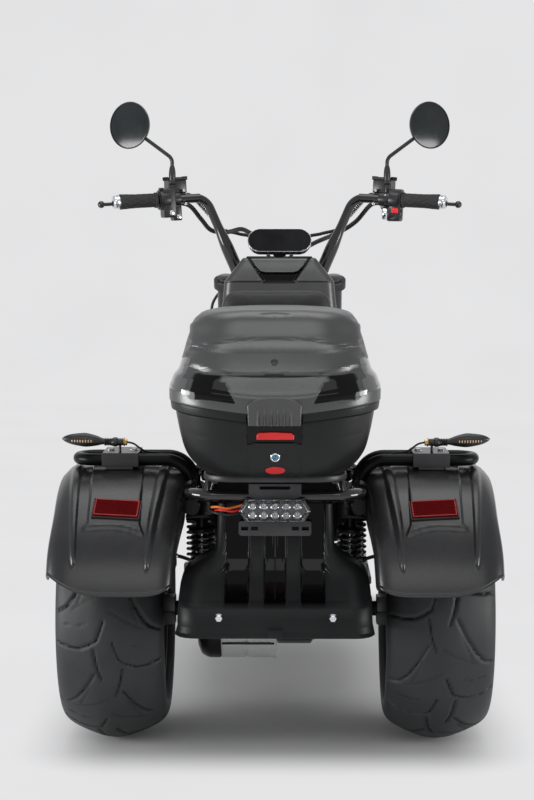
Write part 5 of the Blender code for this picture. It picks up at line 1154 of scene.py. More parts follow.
def cushions():
    """Backrest pad on the lid and the two-person saddle, with their sewn seams."""
    low, high, half = 0.745, 0.873, 0.108
    rings = []
    for ahead, cut in ((0.009, 0.01), (0.014, 0.003), (0.03, 0.002), (0.044, 0.003), (0.05, 0.01)):
        outline = outline_of(half - cut, low + cut, high - cut, 0.024, 0.026, 6, 6)
        rings.append(at(0, CASE_FRONT + ahead, 0) + outline[:, :1] * X + outline[:, 1:] * Z)

    def pad_seams(points):
        """Sewn groove round the pad 9 mm from its rear face's border, and one across it low on the back."""
        local = points - at(0, CASE_FRONT, 0)
        rim = np.exp(-(((local[:, 1] - 0.016) / 0.0018) ** 2))
        across = np.exp(-(((local[:, 2] - 0.79) / 0.0016) ** 2)) * (local[:, 1] < 0.016)
        top = np.exp(-(((local[:, 1] - 0.042) / 0.0018) ** 2))
        return -0.0014 * np.maximum(np.maximum(rim, across), top)

    swollen("backrest_cushion", np.array(rings), "lid", ["backrest_pad"], 0.0025, 0.0055, 4.0, pad_seams)
    bottom = 0.585
    rows = smooth([(0.052, 0.112, 0.65), (0.075, 0.138, 0.658), (0.12, 0.147, 0.6585), (0.2, 0.151, 0.658),
        (0.33, 0.148, 0.652), (0.46, 0.133, 0.648), (0.56, 0.111, 0.65), (0.615, 0.088, 0.6425),
        (0.633, 0.068, 0.632)], 44)
    rings = []
    for ahead, wide, top in rows:
        turn = np.radians(np.linspace(0, 180, 15))
        arch = np.column_stack([wide * np.sign(np.cos(turn)) * np.abs(np.cos(turn)) ** 0.55,
            bottom + 0.03 + (top - bottom - 0.03) * np.abs(np.sin(turn)) ** 0.75])
        ring = np.concatenate([[(-wide * 0.9, bottom + 0.004), (-wide * 0.45, bottom + 0.003),
            (0, bottom + 0.003), (wide * 0.45, bottom + 0.003), (wide * 0.9, bottom + 0.004),
            (wide * 0.98, bottom + 0.012)], arch, [(-wide * 0.98, bottom + 0.012)]])
        rings.append(at(0, ahead, 0) + ring[:, :1] * X + ring[:, 1:] * Z)

    def saddle_seams(points):
        """Sewn line round the saddle's upper edge, two across it, and the step between the two seats."""
        ahead, z = points[:, 1] - REAR_AXLE[1], points[:, 2]
        side = np.exp(-(((z - 0.628) / 0.002) ** 2))
        across = sum(np.exp(-(((ahead - spot - points[:, 0] ** 2 * 1.2) / 0.0022) ** 2))
            for spot in (0.235, 0.262, 0.43, 0.52))
        return -0.0022 * np.maximum(side, across * (z > 0.625))

    swollen("saddle_cushion", np.array(rings), "chassis", ["seat"], 0.008, 0.009, 4.0, saddle_seams)


# ---------------------------------------------------------------- frame, rack, lamps
def frame_and_rack():
    """Main tubes, carrier, floor, battery and the body under the seat."""
    for word, side in SIDES:
        spots = [fore(side * 0.0645, 0.295, 0.745), fore(side * 0.0645, 0.325, 0.62),
            fore(side * FRAME_HALF, 0.39, 0.36), fore(side * (FRAME_HALF + 0.006), 0.43, 0.2),
            at(side * (FRAME_HALF + 0.006), 0.36, 0.2), at(side * FRAME_HALF, 0.22, FRAME_Z),
            at(side * FRAME_HALF, -0.115, FRAME_Z)]
        path = bent(spots, [0.1, 0.16, 0.07, 0.09, 0.09], math.radians(4))
        put(word + "_main_tube", [swept(path, TUBE, 32)], SATIN, 40, [word + "_frame_rail"])
    level, reach, leg = FRAME_Z + 0.035, -0.212, -RAIL_BACK - RACK_TUBE
    cross = bent([at(-FRAME_HALF, leg, level), at(-FRAME_HALF, reach, level), at(0, reach - 0.01, level),
        at(FRAME_HALF, reach, level), at(FRAME_HALF, leg, level)], [0.05, 0.9, 0.05], math.radians(4))
    foot, crown, y = FRAME_Z + TUBE, CASE_LOW - 0.0205, 2 * RACK_TUBE + 0.003 - RAIL_FORE
    hoop = bent([at(-FRAME_HALF, y, foot), at(-FRAME_HALF, y, crown), at(FRAME_HALF, y, crown),
        at(FRAME_HALF, y, foot)], [0.02, 0.02], math.radians(6))
    parts = [swept(cross, RACK_TUBE, 28), swept(hoop, RACK_TUBE, 28)]
    for side in (-1, 1):
        parts.append(swept([at(side * 0.118, -0.2, CASE_LOW - 0.008), at(side * 0.128, -0.2125, level)],
            0.009, 24))
        collar = eased([(0, 0.001), (0, 0.016), (0.007, 0.015), (0.009, 0.0118), (0.009, 0.001)], 0.001)
        parts.append(turned(collar, frame_of(at(side * FRAME_HALF, leg + 0.0005, level), -Y), 32))
    put("carrier_tubes", parts, GLOSS, 40, ["luggage_rack"])
    plate = outline_of(CASE_HALF - 0.068, 0.083 - CASE_REAR, 0.03, 0.06, 0.03, 10)
    put("carrier_plate", [slab(plate, CASE_LOW - 0.0123, CASE_LOW - 0.0003, frame_of(at(0, 0, 0), Z),
        0.003)], STEEL, 40)
    for x_at in (-0.118, 0.118):
        put("carrier_bolt_%d" % (x_at > 0), bolt(frame_of(at(x_at * 0.93, -0.262, CASE_LOW - 0.0125), -Z,
            X), 0.005), STEEL, 30)
    wires = [("orange_wire", 0.0024, ORANGE, [(-0.118, -0.212, 0.478), (-0.105, -0.228, 0.4805),
        (-0.088, -0.23, 0.478), (-0.074, -0.226, 0.48), (-0.06, -0.224, 0.4835)]),
        ("red_wire", 0.002, RED_BAR, [(-0.112, -0.214, 0.472), (-0.098, -0.229, 0.475),
        (-0.08, -0.231, 0.4725), (-0.062, -0.226, 0.475)]), ("black_wire", 0.0024, HOSE,
        [(-0.126, -0.2, 0.47), (-0.11, -0.226, 0.469), (-0.086, -0.232, 0.4665), (-0.06, -0.226, 0.47)])]
    for name, radius, look, path in wires:
        line = smooth([at(*spot) for spot in path], 36)
        put(name, [swept(line, radius, 12)], look, 60, slot="black_plastic")

    low, thick = 0.2 + TUBE, 0.022
    floor_half, front, rear = FRAME_HALF + 0.045, 0.93, 0.365
    waist = FRAME_HALF + 0.006 - TUBE - 0.01
    edge = [(rear, waist - 0.015), (rear + 0.015, waist), (rear + 0.07, waist),
        (rear + 0.085, floor_half - 0.012), (rear + 0.1, floor_half), (front - 0.115, floor_half),
        (front - 0.095, floor_half - 0.012), (front - 0.078, waist), (front, waist)]
    outline = np.array([(half, y) for y, half in edge] + [(-half, y) for y, half in reversed(edge)])
    parts = [slab(outline, low, low + thick - 0.004, frame_of(at(0, 0, 0), Z), 0.0035)]
    for k in range(16):
        y = rear + 0.112 + k * 0.0225
        parts.append(block(at(-floor_half + 0.035, y, low + thick - 0.006),
            at(floor_half - 0.035, y + 0.012, low + thick - 0.0003), None, 0.0012))
    for side in (-1, 1):
        parts.append(swept([at(side * (floor_half - 0.012), rear + 0.11, low + thick - 0.0055),
            at(side * (floor_half - 0.012), front - 0.125, low + thick - 0.0055)], 0.0055, 20))
    put("foot_platform", parts, GRAINED, 35, ["floorboard"])
    half = FRAME_HALF + 0.006 - TUBE - 0.004
    rings = []
    for z, cut, corner in smooth([(0.126, 0.012, 0.016), (0.129, 0.005, 0.022), (0.138, 0.0, 0.026),
            (0.165, 0, 0.026), (0.166, 0.0022, 0.024), (0.17, 0.0022, 0.024), (0.171, 0, 0.026),
            (0.217, 0, 0.026)], 60):
        ring = outline_of(half - cut, rear + 0.035 + cut, front - 0.03 - cut, corner, corner, 8)
        rings.append(np.column_stack([ring, np.full(len(ring), z)]) + at(0, 0, 0))
    put("battery_case", [skinned(rings)], CAST, 35, ["battery_box"], slot="black_paint")
    inside, over = FRAME_HALF - TUBE - 0.006, FRAME_Z + TUBE + 0.002
    rows = [(0.362, inside - 0.01, 0.13, 0.25, 0.02), (0.4, inside, 0.11, 0.3, 0.025),
        (over - 0.002, inside, 0.106, 0.42, 0.02), (over + 0.003, inside + 0.013, 0.106, 0.425, 0.02),
        (0.5, inside + 0.016, 0.106, 0.445, 0.02), (0.54, inside + 0.021, 0.106, 0.49, 0.02),
        (0.565, inside + 0.017, 0.106, 0.53, 0.02), (0.5845, inside + 0.013, 0.106, 0.56, 0.02)]
    put("seat_body", [skinned(lofted(rows, 70))], GRAINED, 40, ["seat_housing"])


def tail_lamp():
    """Six-sided lamp: black bowl with two rows of bright cells behind a clear lens."""
    here = frame_of(at(0, -0.2605, 0.4805), -Y, X)

    def hexagon(cut):
        return np.array([(0.0655 - cut, 0), (0.054 - cut, 0.02 - cut), (-0.054 + cut, 0.02 - cut),
            (-0.0655 + cut, 0), (-0.054 + cut, -0.02 + cut), (0.054 - cut, -0.02 + cut)])[::-1]

    def face(cut, depth):
        """The six-sided outline with rounded corners, subdivided."""
        corners = hexagon(cut)
        loop = eased(np.concatenate([corners, corners[:2]]), 0.003, 4)[1:-1]
        return np.column_stack([loop, np.full(len(loop), depth)])

    bowl = [face(0.004, 0), face(0.001, 0.004), face(0.0002, 0.01), face(0.0002, 0.014),
        face(0.0026, 0.014), face(0.004, 0.01), face(0.005, 0.0065)]
    put("tail_lamp_bowl", [skinned(place(np.array(bowl), here))], SMOOTH, 35)
    cells, dots = [], []
    for y in (-0.0078, 0.0078):
        for k in range(5):
            spot = frame_of(place([(k - 2) * 0.0205, y, 0.0066], here), -Y, X)
            cup = [(0.0002, 0.0004), (0.0006, 0.003), (0.003, 0.0058), (0.009, 0.0072), (0.0092, 0.0062),
                (0.0096, 0.0072), (0.008, 0.0076), (0.0, 0.007)]
            cells.append(turned(cup, spot, 28))
            dots.append(turned([(0.001, 0.0002), (0.001, 0.0016), (0.0024, 0.0012), (0.0028, 0.0002)],
                spot, 14))
    put("tail_lamp_cells", cells, CHROME, 30)
    put("tail_lamp_leds", dots, AMBER, 40)
    lens = [face(0.003, 0.0145), face(0.0002, 0.0145), face(0.0001, 0.022), face(0.0015, 0.0275),
        face(0.0045, 0.03)]
    lens += [face(0.006, 0.0285), face(0.0034, 0.0262), face(0.0024, 0.0215)]
    put("tail_lamp_lens", [skinned(place(np.array(lens), here), False)], CLEAR, 30, ["tail_light"])


# ---------------------------------------------------------------- running gear
ARM_HALF, AXLE_R, AXLE_HALF = 0.108, 0.029, TRACK_HALF - 0.142
MOTOR_R, MOTOR_Z, MOTOR_BACK = 0.078, 0.208, 0.106


def running_gear():
    """Axle, motor and swing arm, and on both sides the shock absorbers and the rear caliper."""
    rear_axle()
    motor()
    swing_arm()
    for word, side in SIDES:
        rear_shocks(word, side)
        rear_caliper(word, side)


def rear_axle():
    """Axle in its tube, with the gearcase and the nuts at both ends."""
    across = frame_of(REAR_AXLE, X, Y)
    tip = TRACK_HALF + 0.07
    profile = [(-tip, SPINDLE_R - 0.001), (-AXLE_HALF - 0.02, SPINDLE_R), (-AXLE_HALF - 0.02, 0.024),
        (-AXLE_HALF, 0.024), (-AXLE_HALF, AXLE_R), (AXLE_HALF, AXLE_R), (AXLE_HALF, 0.024),
        (AXLE_HALF + 0.02, 0.024), (AXLE_HALF + 0.02, SPINDLE_R), (tip, SPINDLE_R - 0.001)]
    parts = [knob(profile, across, 48, 0.0012)]
    outline = []
    for y, z, radius, start in ((MOTOR_BACK, MOTOR_Z - WHEEL_R, 0.052, -80), (0, 0, 0.066, 110)):
        turn = np.radians(start + np.linspace(0, 180, 24))
        outline.append(np.column_stack([y + radius * np.cos(turn), z + radius * np.sin(turn)]))
    sideways = (REAR_AXLE, np.array([Y, Z, X]))
    parts.append(slab(np.concatenate(outline), 0.0005, 0.072, sideways, 0.006, 5))
    for k in range(7):
        turn = 2 * math.pi * k / 7
        spot = at(0.072, 0.056 * math.cos(turn), WHEEL_R + 0.056 * math.sin(turn))
        parts += bolt(frame_of(spot, X, Y), 0.0045)
    put("axle_and_gearcase", parts, CAST, 40, ["rear_axle"], slot="black_paint")
    for side in (-1, 1):
        hub = eased([(0, 0.0005), (0, 0.0135), (0.006, 0.0135), (0.006, 0.0005)], 0.001)
        nut = frame_of(at(side * (tip - 0.002), 0, WHEEL_R), side * X, Y)
        put("spindle_nut_%d" % (side > 0), bolt(nut, 0.012, 0.01) + [turned(hub, nut, 24)], STEEL, 30)


def motor():
    """Motor with a dark end cap, pale grooved shell and a seam along it, and the clamps of the axle tube."""
    along = frame_of(at(0, MOTOR_BACK, MOTOR_Z), X, Y)
    r = MOTOR_R
    cap = [(-0.157, r - 0.026), (-0.149, r - 0.008), (-0.135, r - 0.001), (-0.11, r - 0.001)]
    put("motor_cap", [knob(cap, along, 64, 0.004)], CAST, 40)
    shell = [(-0.11, r - 0.003), (-0.105, r), (-0.1, r - 0.0015), (-0.062, r - 0.0015),
        (-0.062, r - 0.005), (-0.056, r - 0.005), (-0.056, r - 0.0015), (-0.014, r - 0.0015), (-0.01, r),
        (0.0, r)]
    put("motor_shell", [knob(shell, along, 96, 0.001)], PALE, 35, ["drive_motor"])
    low = -0.036
    seam = at(0, MOTOR_BACK - math.sqrt(r * r - low * low), MOTOR_Z + low)
    put("motor_seam", [swept([seam - 0.108 * X, seam - 0.004 * X], 0.0024, 12)], SMOOTH, 50)
    for word, side in SIDES:
        spot = at(side * (TRACK_HALF - 0.1), -0.014, 0)
        put(word + "_axle_clamp", [block(spot + (-0.014, -0.02, 0.2486), spot + (0.014, 0.02, 0.278), None,
            0.002)], SMOOTH, 35, slot="black_paint")
        put(word + "_axle_block", [block(spot + (-0.014, -0.018, 0.223), spot + (0.014, 0.018, 0.248),
            None, 0.002)], STEEL, 35)


def swing_arm():
    """Two arms from the axle to a cross tube ahead of it."""
    ahead = 0.33
    parts = [swept([at(-0.14, ahead, 0.312), at(0.14, ahead, 0.312)], 0.017, 32)]
    for side in (-1, 1):
        x = side * ARM_HALF
        line = smooth([at(x, ahead, 0.312), at(x, 0.16, 0.33), at(x, 0.0, 0.3275)], 20)
        parts.append(swept(line, 0.015, 28))
        parts.append(block(at(x - 0.02, -0.024, WHEEL_R + AXLE_R - 0.001), at(x + 0.02, 0.024, 0.326),
            None, 0.002))
    put("swing_arm_tubes", parts, SATIN, 40, ["swing_arm"])


def rear_shocks(word, side):
    """Two short shock absorbers under the frame rail, with rods, springs and the plate that takes them."""
    top = FRAME_Z - TUBE
    black = [block(at(side * (FRAME_HALF - 0.014) - 0.026, -0.105, top - 0.006),
        at(side * (FRAME_HALF - 0.014) + 0.026, 0.105, top), None, 0.0012)]
    rod_parts, springs = [], []
    for inward, y in ((0.018, -0.075), (0.005, 0.075)):
        x = side * (FRAME_HALF - inward)
        foot, head = at(x, y * 0.86, 0.3), at(x, y, top - 0.003)
        line, reach = frame_of(foot, head - foot), np.linalg.norm(head - foot)
        eye = [(0, 0.0005), (0, 0.01), (0.018, 0.01), (0.02, 0.014), (0.022, 0.0255), (0.028, 0.0258),
            (0.03, 0.014), (0.032, 0.0005)]
        lid = [(reach - 0.034, 0.014), (reach - 0.032, 0.0256), (reach - 0.024, 0.0258),
            (reach - 0.022, 0.012), (reach, 0.012)]
        black += [turned(eased(eye, 0.001), line, 40), knob(lid, line, 40, 0.001)]
        body = [(0.03, 0.013), (0.08, 0.013), (0.082, 0.0065), (reach - 0.032, 0.0065)]
        rod_parts.append(knob(body, line, 28, 0.001))
        seats = [place([0, 0, height], line) for height in (0.03, reach - 0.034)]
        springs.append(coil(*seats, 0.0212, 0.0036, 7.5))
    put(word + "_shock_ends", black, SATIN, 40, [word + "_shocks"])
    put(word + "_shock_rods", rod_parts, CHROME, 40)
    put(word + "_shock_springs", springs, GLOSS, 60)


def rear_caliper(word, side):
    """Caliper over the disc, with its hose to the swing arm and the hose's end fittings."""
    slot, face = TRACK_HALF - DISC_AT, AXLE_HALF + 0.001
    body = []
    for low, high in ((slot - 0.034, slot - 0.0045), (slot + 0.0045, slot + 0.016)):
        line = outline_of((high - low) / 2, -0.03, 0.03, 0.006, 0.006, 5) + [side * (low + high) / 2, 0]
        body.append(slab(line, 0.312, 0.366, frame_of(at(0, 0, 0), Z), 0.004, 4))
    body.append(block(at(side * (slot - 0.009) - 0.025, -0.026, 0.3595),
        at(side * (slot - 0.009) + 0.025, 0.026, 0.3655), None, 0.002))
    body.append(block(at(side * (face + 0.0055) - 0.0055, -0.012, WHEEL_R + 0.0243),
        at(side * (face + 0.0055) + 0.0055, 0.012, 0.34), None, 0.002))
    for y in (-0.017, 0.017):
        body.append(knob([(0, 0.0105), (0.006, 0.01), (0.008, 0.007)],
            frame_of(at(side * (slot - 0.034), y, 0.338), -side * X, Y), 28, 0.001))
    put(word + "_caliper_body", body, SILVER, 35, [word + "_rear_caliper"])
    hose = smooth([at(side * (slot - 0.03), -0.004, 0.352), at(side * (slot - 0.044), -0.004, 0.3535),
        at(side * (slot - 0.06), -0.002, 0.349), at(side * (slot - 0.085), 0, 0.339),
        at(side * (ARM_HALF + 0.012), 0, 0.332)], 40)
    put(word + "_caliper_hose", [swept(hose, 0.0036, 16)], HOSE, 60)
    fit = eased([(0, 0.0005), (0, 0.0056), (0.01, 0.0056), (0.012, 0.0044), (0.016, 0.0044),
        (0.016, 0.0005)], 0.0006)
    put(word + "_hose_end", [turned(fit, frame_of(hose[0], hose[4] - hose[0]), 20),
        turned(fit, frame_of(hose[-1], hose[-5] - hose[-1]), 20)], CHROME, 35)


# ---------------------------------------------------------------- front end
FORK_OUT, FORK_AHEAD, SLIDER_R, STANCHION_R = 0.134, 0.035, 0.028, 0.021
YOKE_LOW, YOKE_HIGH, YOKE_THICK = 0.432, 0.655, 0.024
BAR_HEIGHT, BAR_R, BAR_END_R, BAR_TOP = 0.702, 0.016, 0.011, 1.07
AXIS_FRAME = (STEER_FOOT, np.array([X, AHEAD, AXIS]))


def leg_line(side):
    """Frame on a fork leg's line, level with the front axle."""
    return steer(side * FORK_OUT, FORK_AHEAD, 0), AXIS_FRAME[1]


def yoke_line(eye):
    """Outline of a fork yoke: an arc round each leg, narrow at the stem."""
    line = []
    for side, start in ((1, -60), (-1, 90)):
        turn = np.radians(start + np.linspace(0, 150, 20))
        line.append(np.column_stack([side * FORK_OUT + eye * np.cos(turn), FORK_AHEAD + eye * np.sin(turn)]))
    line.append([(-0.042, -0.03), (-0.026, -0.038), (0.026, -0.038), (0.042, -0.03)])
    return np.concatenate(line)


def steering_head():
    """Everything at the front below the handlebar. The result is the frame of the front caliper."""
    fork()
    head_tube()
    headlight()
    front_indicators()
    front_spindle()
    front_mudguard()
    return front_caliper()


def fork():
    """Sliders, stanchions and both yokes, with the bar's clamps on the upper one."""
    parts = [slab(yoke_line(0.032), YOKE_LOW, YOKE_LOW + YOKE_THICK, AXIS_FRAME, 0.003, 4),
        knob([(YOKE_LOW, 0.0155), (YOKE_HIGH + 0.028, 0.0155)], AXIS_FRAME, 40, 0.001)]
    slides = []
    for side in (-1, 1):
        line = leg_line(side)
        foot = [(-0.038, 0.017), (-0.032, 0.0215), (-0.02, 0.024), (0.06, 0.0246), (0.2, 0.0262),
            (0.285, 0.0275), (0.3, SLIDER_R), (0.308, SLIDER_R), (0.312, STANCHION_R + 0.0005)]
        parts.append(knob(foot, line, 48, 0.002))
        slides.append(turned(eased([(0.3, 0.0005), (0.3, STANCHION_R), (0.684, STANCHION_R),
            (0.685, 0.0005)], 0.001), line, 48))
    steered("fork_sliders", parts, SATIN, 40, ["fork"])
    steered("fork_stanchions", slides, GLOSS, 40)
    top = [slab(yoke_line(0.03), YOKE_HIGH, YOKE_HIGH + YOKE_THICK, AXIS_FRAME, 0.003, 4)]
    for side in (-1, 1):
        clamp = outline_of(0.014, -0.024, 0.024, 0.005, 0.005, 5) + [side * 0.045, 0]
        top.append(slab(clamp, YOKE_HIGH + YOKE_THICK - 0.002, BAR_HEIGHT + BAR_R + 0.008, AXIS_FRAME, 0.002))
        for y in (-0.0175, 0.0175):
            top += bolt((steer(side * 0.045, y, BAR_HEIGHT + BAR_R + 0.0075), AXIS_FRAME[1]), 0.0042, 0.004)
    steered("top_yoke", top, CAST, 38, ["upper_yoke"])


def head_tube():
    """Tube of the steering bearing, the box behind it and the stay down to the frame."""
    low, high = YOKE_LOW + 0.03, YOKE_HIGH - 0.005
    cup = [(low, 0.017), (low, 0.033), (low + 0.016, 0.033), (low + 0.02, 0.028), (high - 0.02, 0.028),
        (high - 0.016, 0.033), (high, 0.033), (high, 0.017)]
    rings = [[steer(-half, ahead, down), steer(half, ahead, down), steer(half, ahead, up),
        steer(-half, ahead, up)] for ahead, half, down, up in ((-0.02, 0.02, low + 0.022, high - 0.022),
        (-0.05, 0.045, low + 0.026, high - 0.04), (-0.088, 0.045, low + 0.04, high - 0.05))]
    stay = block(np.array([-0.03, FRONT_AXLE[1] - 0.498, 0.69]), fore(0.03, 0.315, 0.712), None, 0.002)
    put("steering_head_tube", [hooped(cup, AXIS_FRAME, 48, 0.0015), skinned(rings), stay], SATIN, 38,
        ["head_tube"])


def headlight():
    """Round headlight on two ears: bucket, bezel, reflector with its bulb, and lens."""
    centre = np.array([0, steer(0, 0.15, 0.56)[1], steer(0, 0.06, 0.56)[2]])
    lamp = frame_of(centre, Y, X)
    bucket = [(-0.058, 0.026), (-0.05, 0.056), (-0.024, 0.082), (0.01, 0.0885), (0.026, 0.09)]
    parts = [knob(bucket, lamp, 96, 0.006, 5)]
    for side in (-1, 1):
        line = leg_line(side)
        grip_ring = [(0.505, 0.0212), (0.505, 0.028), (0.56, 0.028), (0.56, 0.0212)]
        parts.append(hooped(grip_ring, line, 48, 0.001))
        ear = [[steer(side * out + x, FORK_AHEAD + ahead, up) for x,
            up in ((-0.0025, low), (0.0025, low), (0.0025, high), (-0.0025, high))]
            for out, ahead, low, high in ((FORK_OUT - 0.004, 0.0245, 0.51, 0.555),
            (0.108, 0.08, 0.52, 0.552), (0.07, 0.105, 0.53, 0.556))]
        parts.append(skinned(ear))
    steered("headlight_bucket", parts, GLOSS, 38, ["headlight"], slot="gloss_black")
    bezel = [(0.024, 0.086), (0.026, 0.094), (0.036, 0.0945), (0.041, 0.09), (0.04, 0.085), (0.03, 0.084)]
    steered("headlight_bezel", [hooped(bezel, lamp, 96, 0.002)], CHROME, 40)
    bowl = smooth([(0.012, 0.0005), (0.012, 0.02), (0.016, 0.045), (0.024, 0.068), (0.034, 0.085)], 30)
    dish = np.concatenate([bowl, [(0.031, 0.085), (0.008, 0.04), (0.008, 0.0005)]])
    steered("headlight_reflector", [turned(dish, lamp, 96), turned(
        eased([(0.012, 0.0005), (0.012, 0.012), (0.026, 0.01), (0.028, 0.0005)], 0.002), lamp, 40)],
        CHROME, 40)
    dome = np.linspace(0, 1, 20)
    lens = [(0.037 + 0.018 * (1 - t ** 2), max(0.0005, 0.086 * t))
        for t in dome] + [(0.034 + 0.018 * (1 - t ** 2), max(0.0005, 0.085 * t)) for t in dome[::-1]]
    steered("headlight_lens", [turned(lens, lamp, 96)], CLEAR, 40)


def front_indicators():
    """Turn signals at both ends of a bar on the lower yoke."""
    pad = steer(0, FORK_AHEAD + 0.043, YOKE_LOW + YOKE_THICK / 2)
    parts = [swept([pad - X * 0.175, pad + X * 0.175], 0.006, 24),
        block((-0.025, -0.0107, -0.009), (0.025, 0.004, 0.009), (pad, AXIS_FRAME[1]), 0.0015)]
    strips = []
    turn = 2 * np.pi * np.arange(36) / 36
    for side in (-1, 1):
        rows = smooth([(0.15, 0.006, 0.007), (0.158, 0.008, 0.009), (0.172, 0.0118, 0.0112),
            (0.185, 0.0135, 0.012), (0.205, 0.009, 0.01), (0.222, 0.002, 0.003)], 36)
        parts.append(skinned([[pad + np.array([side * x, hy * math.cos(t), hz * math.sin(t)])
            for t in turn] for x, hz, hy in rows]))
        rows = smooth([(0.168, 0.003, 0.0112), (0.185, 0.0036, 0.0126), (0.205, 0.0028, 0.0106)], 16)
        strips.append(skinned([[pad + np.array([side * x, hy * math.cos(t), hz * math.sin(t) * 1.2])
            for t in np.linspace(-0.8, 0.8, 9)] + [pad + np.array([side * x, hy * 0.5, 0])]
            for x, hz, hy in rows]))
    steered("front_indicator_bodies", parts, SMOOTH, 45, ["front_indicators"])
    steered("front_indicator_strips", strips, AMBER, 45)


def front_spindle():
    """Spindle of the front wheel, with its spacers and nut."""
    outer, inner = FORK_OUT + SLIDER_R, FORK_OUT - 0.0246
    shaft = [(-outer - 0.01, 0.014), (-outer, 0.014), (-outer, 0.01), (-inner, 0.01), (-inner, 0.0145),
        (0.074, 0.0145), (0.074, 0.022), (inner, 0.022), (inner, 0.01), (outer, 0.01), (outer, 0.016),
        (outer + 0.012, 0.016)]
    steered("front_spindle", [knob(shaft, frame_of(FRONT_AXLE, X, Y), 40, 0.001)], STEEL, 38,
        ["front_axle"])


def front_mudguard():
    """Mudguard with a raised middle, bolted to a lug on each fork leg."""
    across = smooth(mirrored([(-0.1, 0.244), (-0.098, 0.262), (-0.082, 0.277), (-0.045, 0.284),
        (0, 0.286)]), 79)
    angle = np.radians(28 + 136 * np.linspace(0, 1, 112))[:, None]
    rib = 0.0022 * np.exp(-((across[:, 0] / 0.016) ** 4))
    radius = across[:, 1] + rib
    grid = np.stack([across[:, 0] + 0 * angle, radius * np.cos(angle), radius * np.sin(angle)],
        -1) + FRONT_AXLE
    lugs = []
    for side in (-1, 1):
        near = (-side * (SLIDER_R - 0.002), -side * (FORK_OUT - 0.098))
        lugs.append(block((min(near), -0.022, 0.238), (max(near), 0.022, 0.26), leg_line(side), 0.002))
        lugs += bolt(frame_of(steer(side * 0.1005, FORK_AHEAD, 0.249), -side * X, Y), 0.005)
    steered("front_mudguard", [walled(grid, 0.003, FRONT_AXLE)] + lugs, GLOSS, 50, ["front_fender"])


def front_caliper():
    """Caliper on the left fork leg. The result is its frame, whose Z points out from the axle."""
    turn = math.radians(24 + 62)
    line = (FRONT_AXLE, np.array([X, [0, math.cos(turn), math.sin(turn)],
        [0, -math.sin(turn), math.cos(turn)]]))
    slot, leg_face = -DISC_AT, -(FORK_OUT - SLIDER_R)
    parts = []
    for low, high in ((slot - 0.018, slot - 0.0042), (slot + 0.0042, slot + 0.018)):
        parts.append(block((low, -0.03, 0.062), (high, 0.03, 0.118), line, 0.004, 0.003))
    parts.append(block((slot - 0.016, -0.026, 0.11), (slot + 0.016, 0.026, 0.1178), line, 0.002, 0.002))
    parts.append(block((leg_face, -0.012, 0.07), (slot - 0.01, 0.012, 0.1), line, 0.002, 0.002))
    steered("front_caliper_body", parts, SILVER, 35, ["front_caliper"])
    return line


def u_line(half, rear, front, corner, flat_steps, arc_steps, side_steps):
    """Section open to the front: flat rear face, two arcs and two sides, from one front end to the other."""
    flat = half - corner
    turn = np.radians(np.linspace(0, 90, arc_steps + 1))[1:]
    right = np.concatenate([np.column_stack([np.linspace(0, 1, flat_steps) * flat,
        np.full(flat_steps, rear)]), np.column_stack([flat + corner * np.sin(turn),
        rear + corner - corner * np.cos(turn)]), np.column_stack(
        [np.full(side_steps, half), np.linspace(rear + corner, front, side_steps + 1)[1:]])])
    return np.concatenate([right[:0:-1] * (-1, 1), right])


def leg_shield():
    """Shield behind the steering head: stacked open sections, closed at the top, with a hooded pocket painted
    near black below its hood as painted shade.
    """
    back, front, low = 0.898, 0.955, 0.2393
    rows = smooth([(low, 0.118, back - 0.018, back + 0.03, 0.012),
        (0.262, 0.122, back - 0.014, back + 0.034, 0.016), (0.33, 0.15, back - 0.008, back + 0.04, 0.022),
        (0.47, 0.172, back, back + 0.05, 0.026), (0.6, 0.17, back, back + 0.056, 0.026),
        (0.72, 0.152, back, front, 0.024), (0.8, 0.138, back + 0.002, front, 0.022),
        (0.864, 0.131, back + 0.004, front, 0.02), (0.872, 0.128, back + 0.0045, front, 0.02),
        (0.9, 0.106, back + 0.008, front - 0.003, 0.018), (0.919, 0.091, back + 0.013, front - 0.008,
        0.014), (0.9235, 0.087, back + 0.018, front - 0.01, 0.014),
        (0.9245, 0.084, back + 0.024, front - 0.01, 0.012)], np.concatenate(
        [np.linspace(0, 0.87, 104), np.linspace(0.87, 1, 57)[1:]]))
    lines = np.array([u_line(half, rear, ahead, corner, 52, 10, 8) for z, half, rear, ahead, corner in rows])
    x, z = lines[..., 0], np.broadcast_to(rows[:, :1], lines.shape[:2])
    spots = np.stack([x, z], -1)
    pocket = ramp(signed(spots, [(-0.037, 0.866), (0.037, 0.866), (0.078, 0.9265), (0.1, 0.96),
        (-0.1, 0.96), (-0.078, 0.9265)]), -0.0006, 0.004)
    sill = mirrored([(-0.07, 0.922), (-0.058, 0.904), (-0.046, 0.8925), (-0.036, 0.8895)])
    hood = ramp(signed(spots, sill + [(0.08, 0.96), (-0.08, 0.96)]), -0.001, 0.0022)
    lip = near_line(spots, sill)
    push = pocket * (0.02 - 0.013 * hood) - 0.003 * np.exp(-((lip / 0.0018) ** 2)) * pocket
    # The pocket below the hood gets a negative mark, near black: painted shade.
    mark = -0.9 * pocket * (1 - hood)
    for height in (0.7, 0.47):
        push = push + 0.0012 * np.exp(-(((z - height + 0.15 * np.abs(x)) / 0.0028) ** 2))
    push = push * ramp(-lines[..., 1], -(back + 0.03), -(back + 0.02))
    grid = np.stack([x, lines[..., 1] + push, z], -1) + at(0, 0, 0)
    top = grid[-1]
    centre = top.mean(0)
    cap = np.array([top + (centre - top) * s for s in (0.0, 0.3, 0.6, 0.85)])
    whole = np.concatenate([grid, cap[1:]])
    mark = mark * ramp(-lines[..., 1], -(back + 0.03), -(back + 0.02))
    put("leg_shield_shell", [walled(whole, 0.0038, at(0, back + 0.1, 0.6))], CASE, 40, ["leg_shield"], mark)


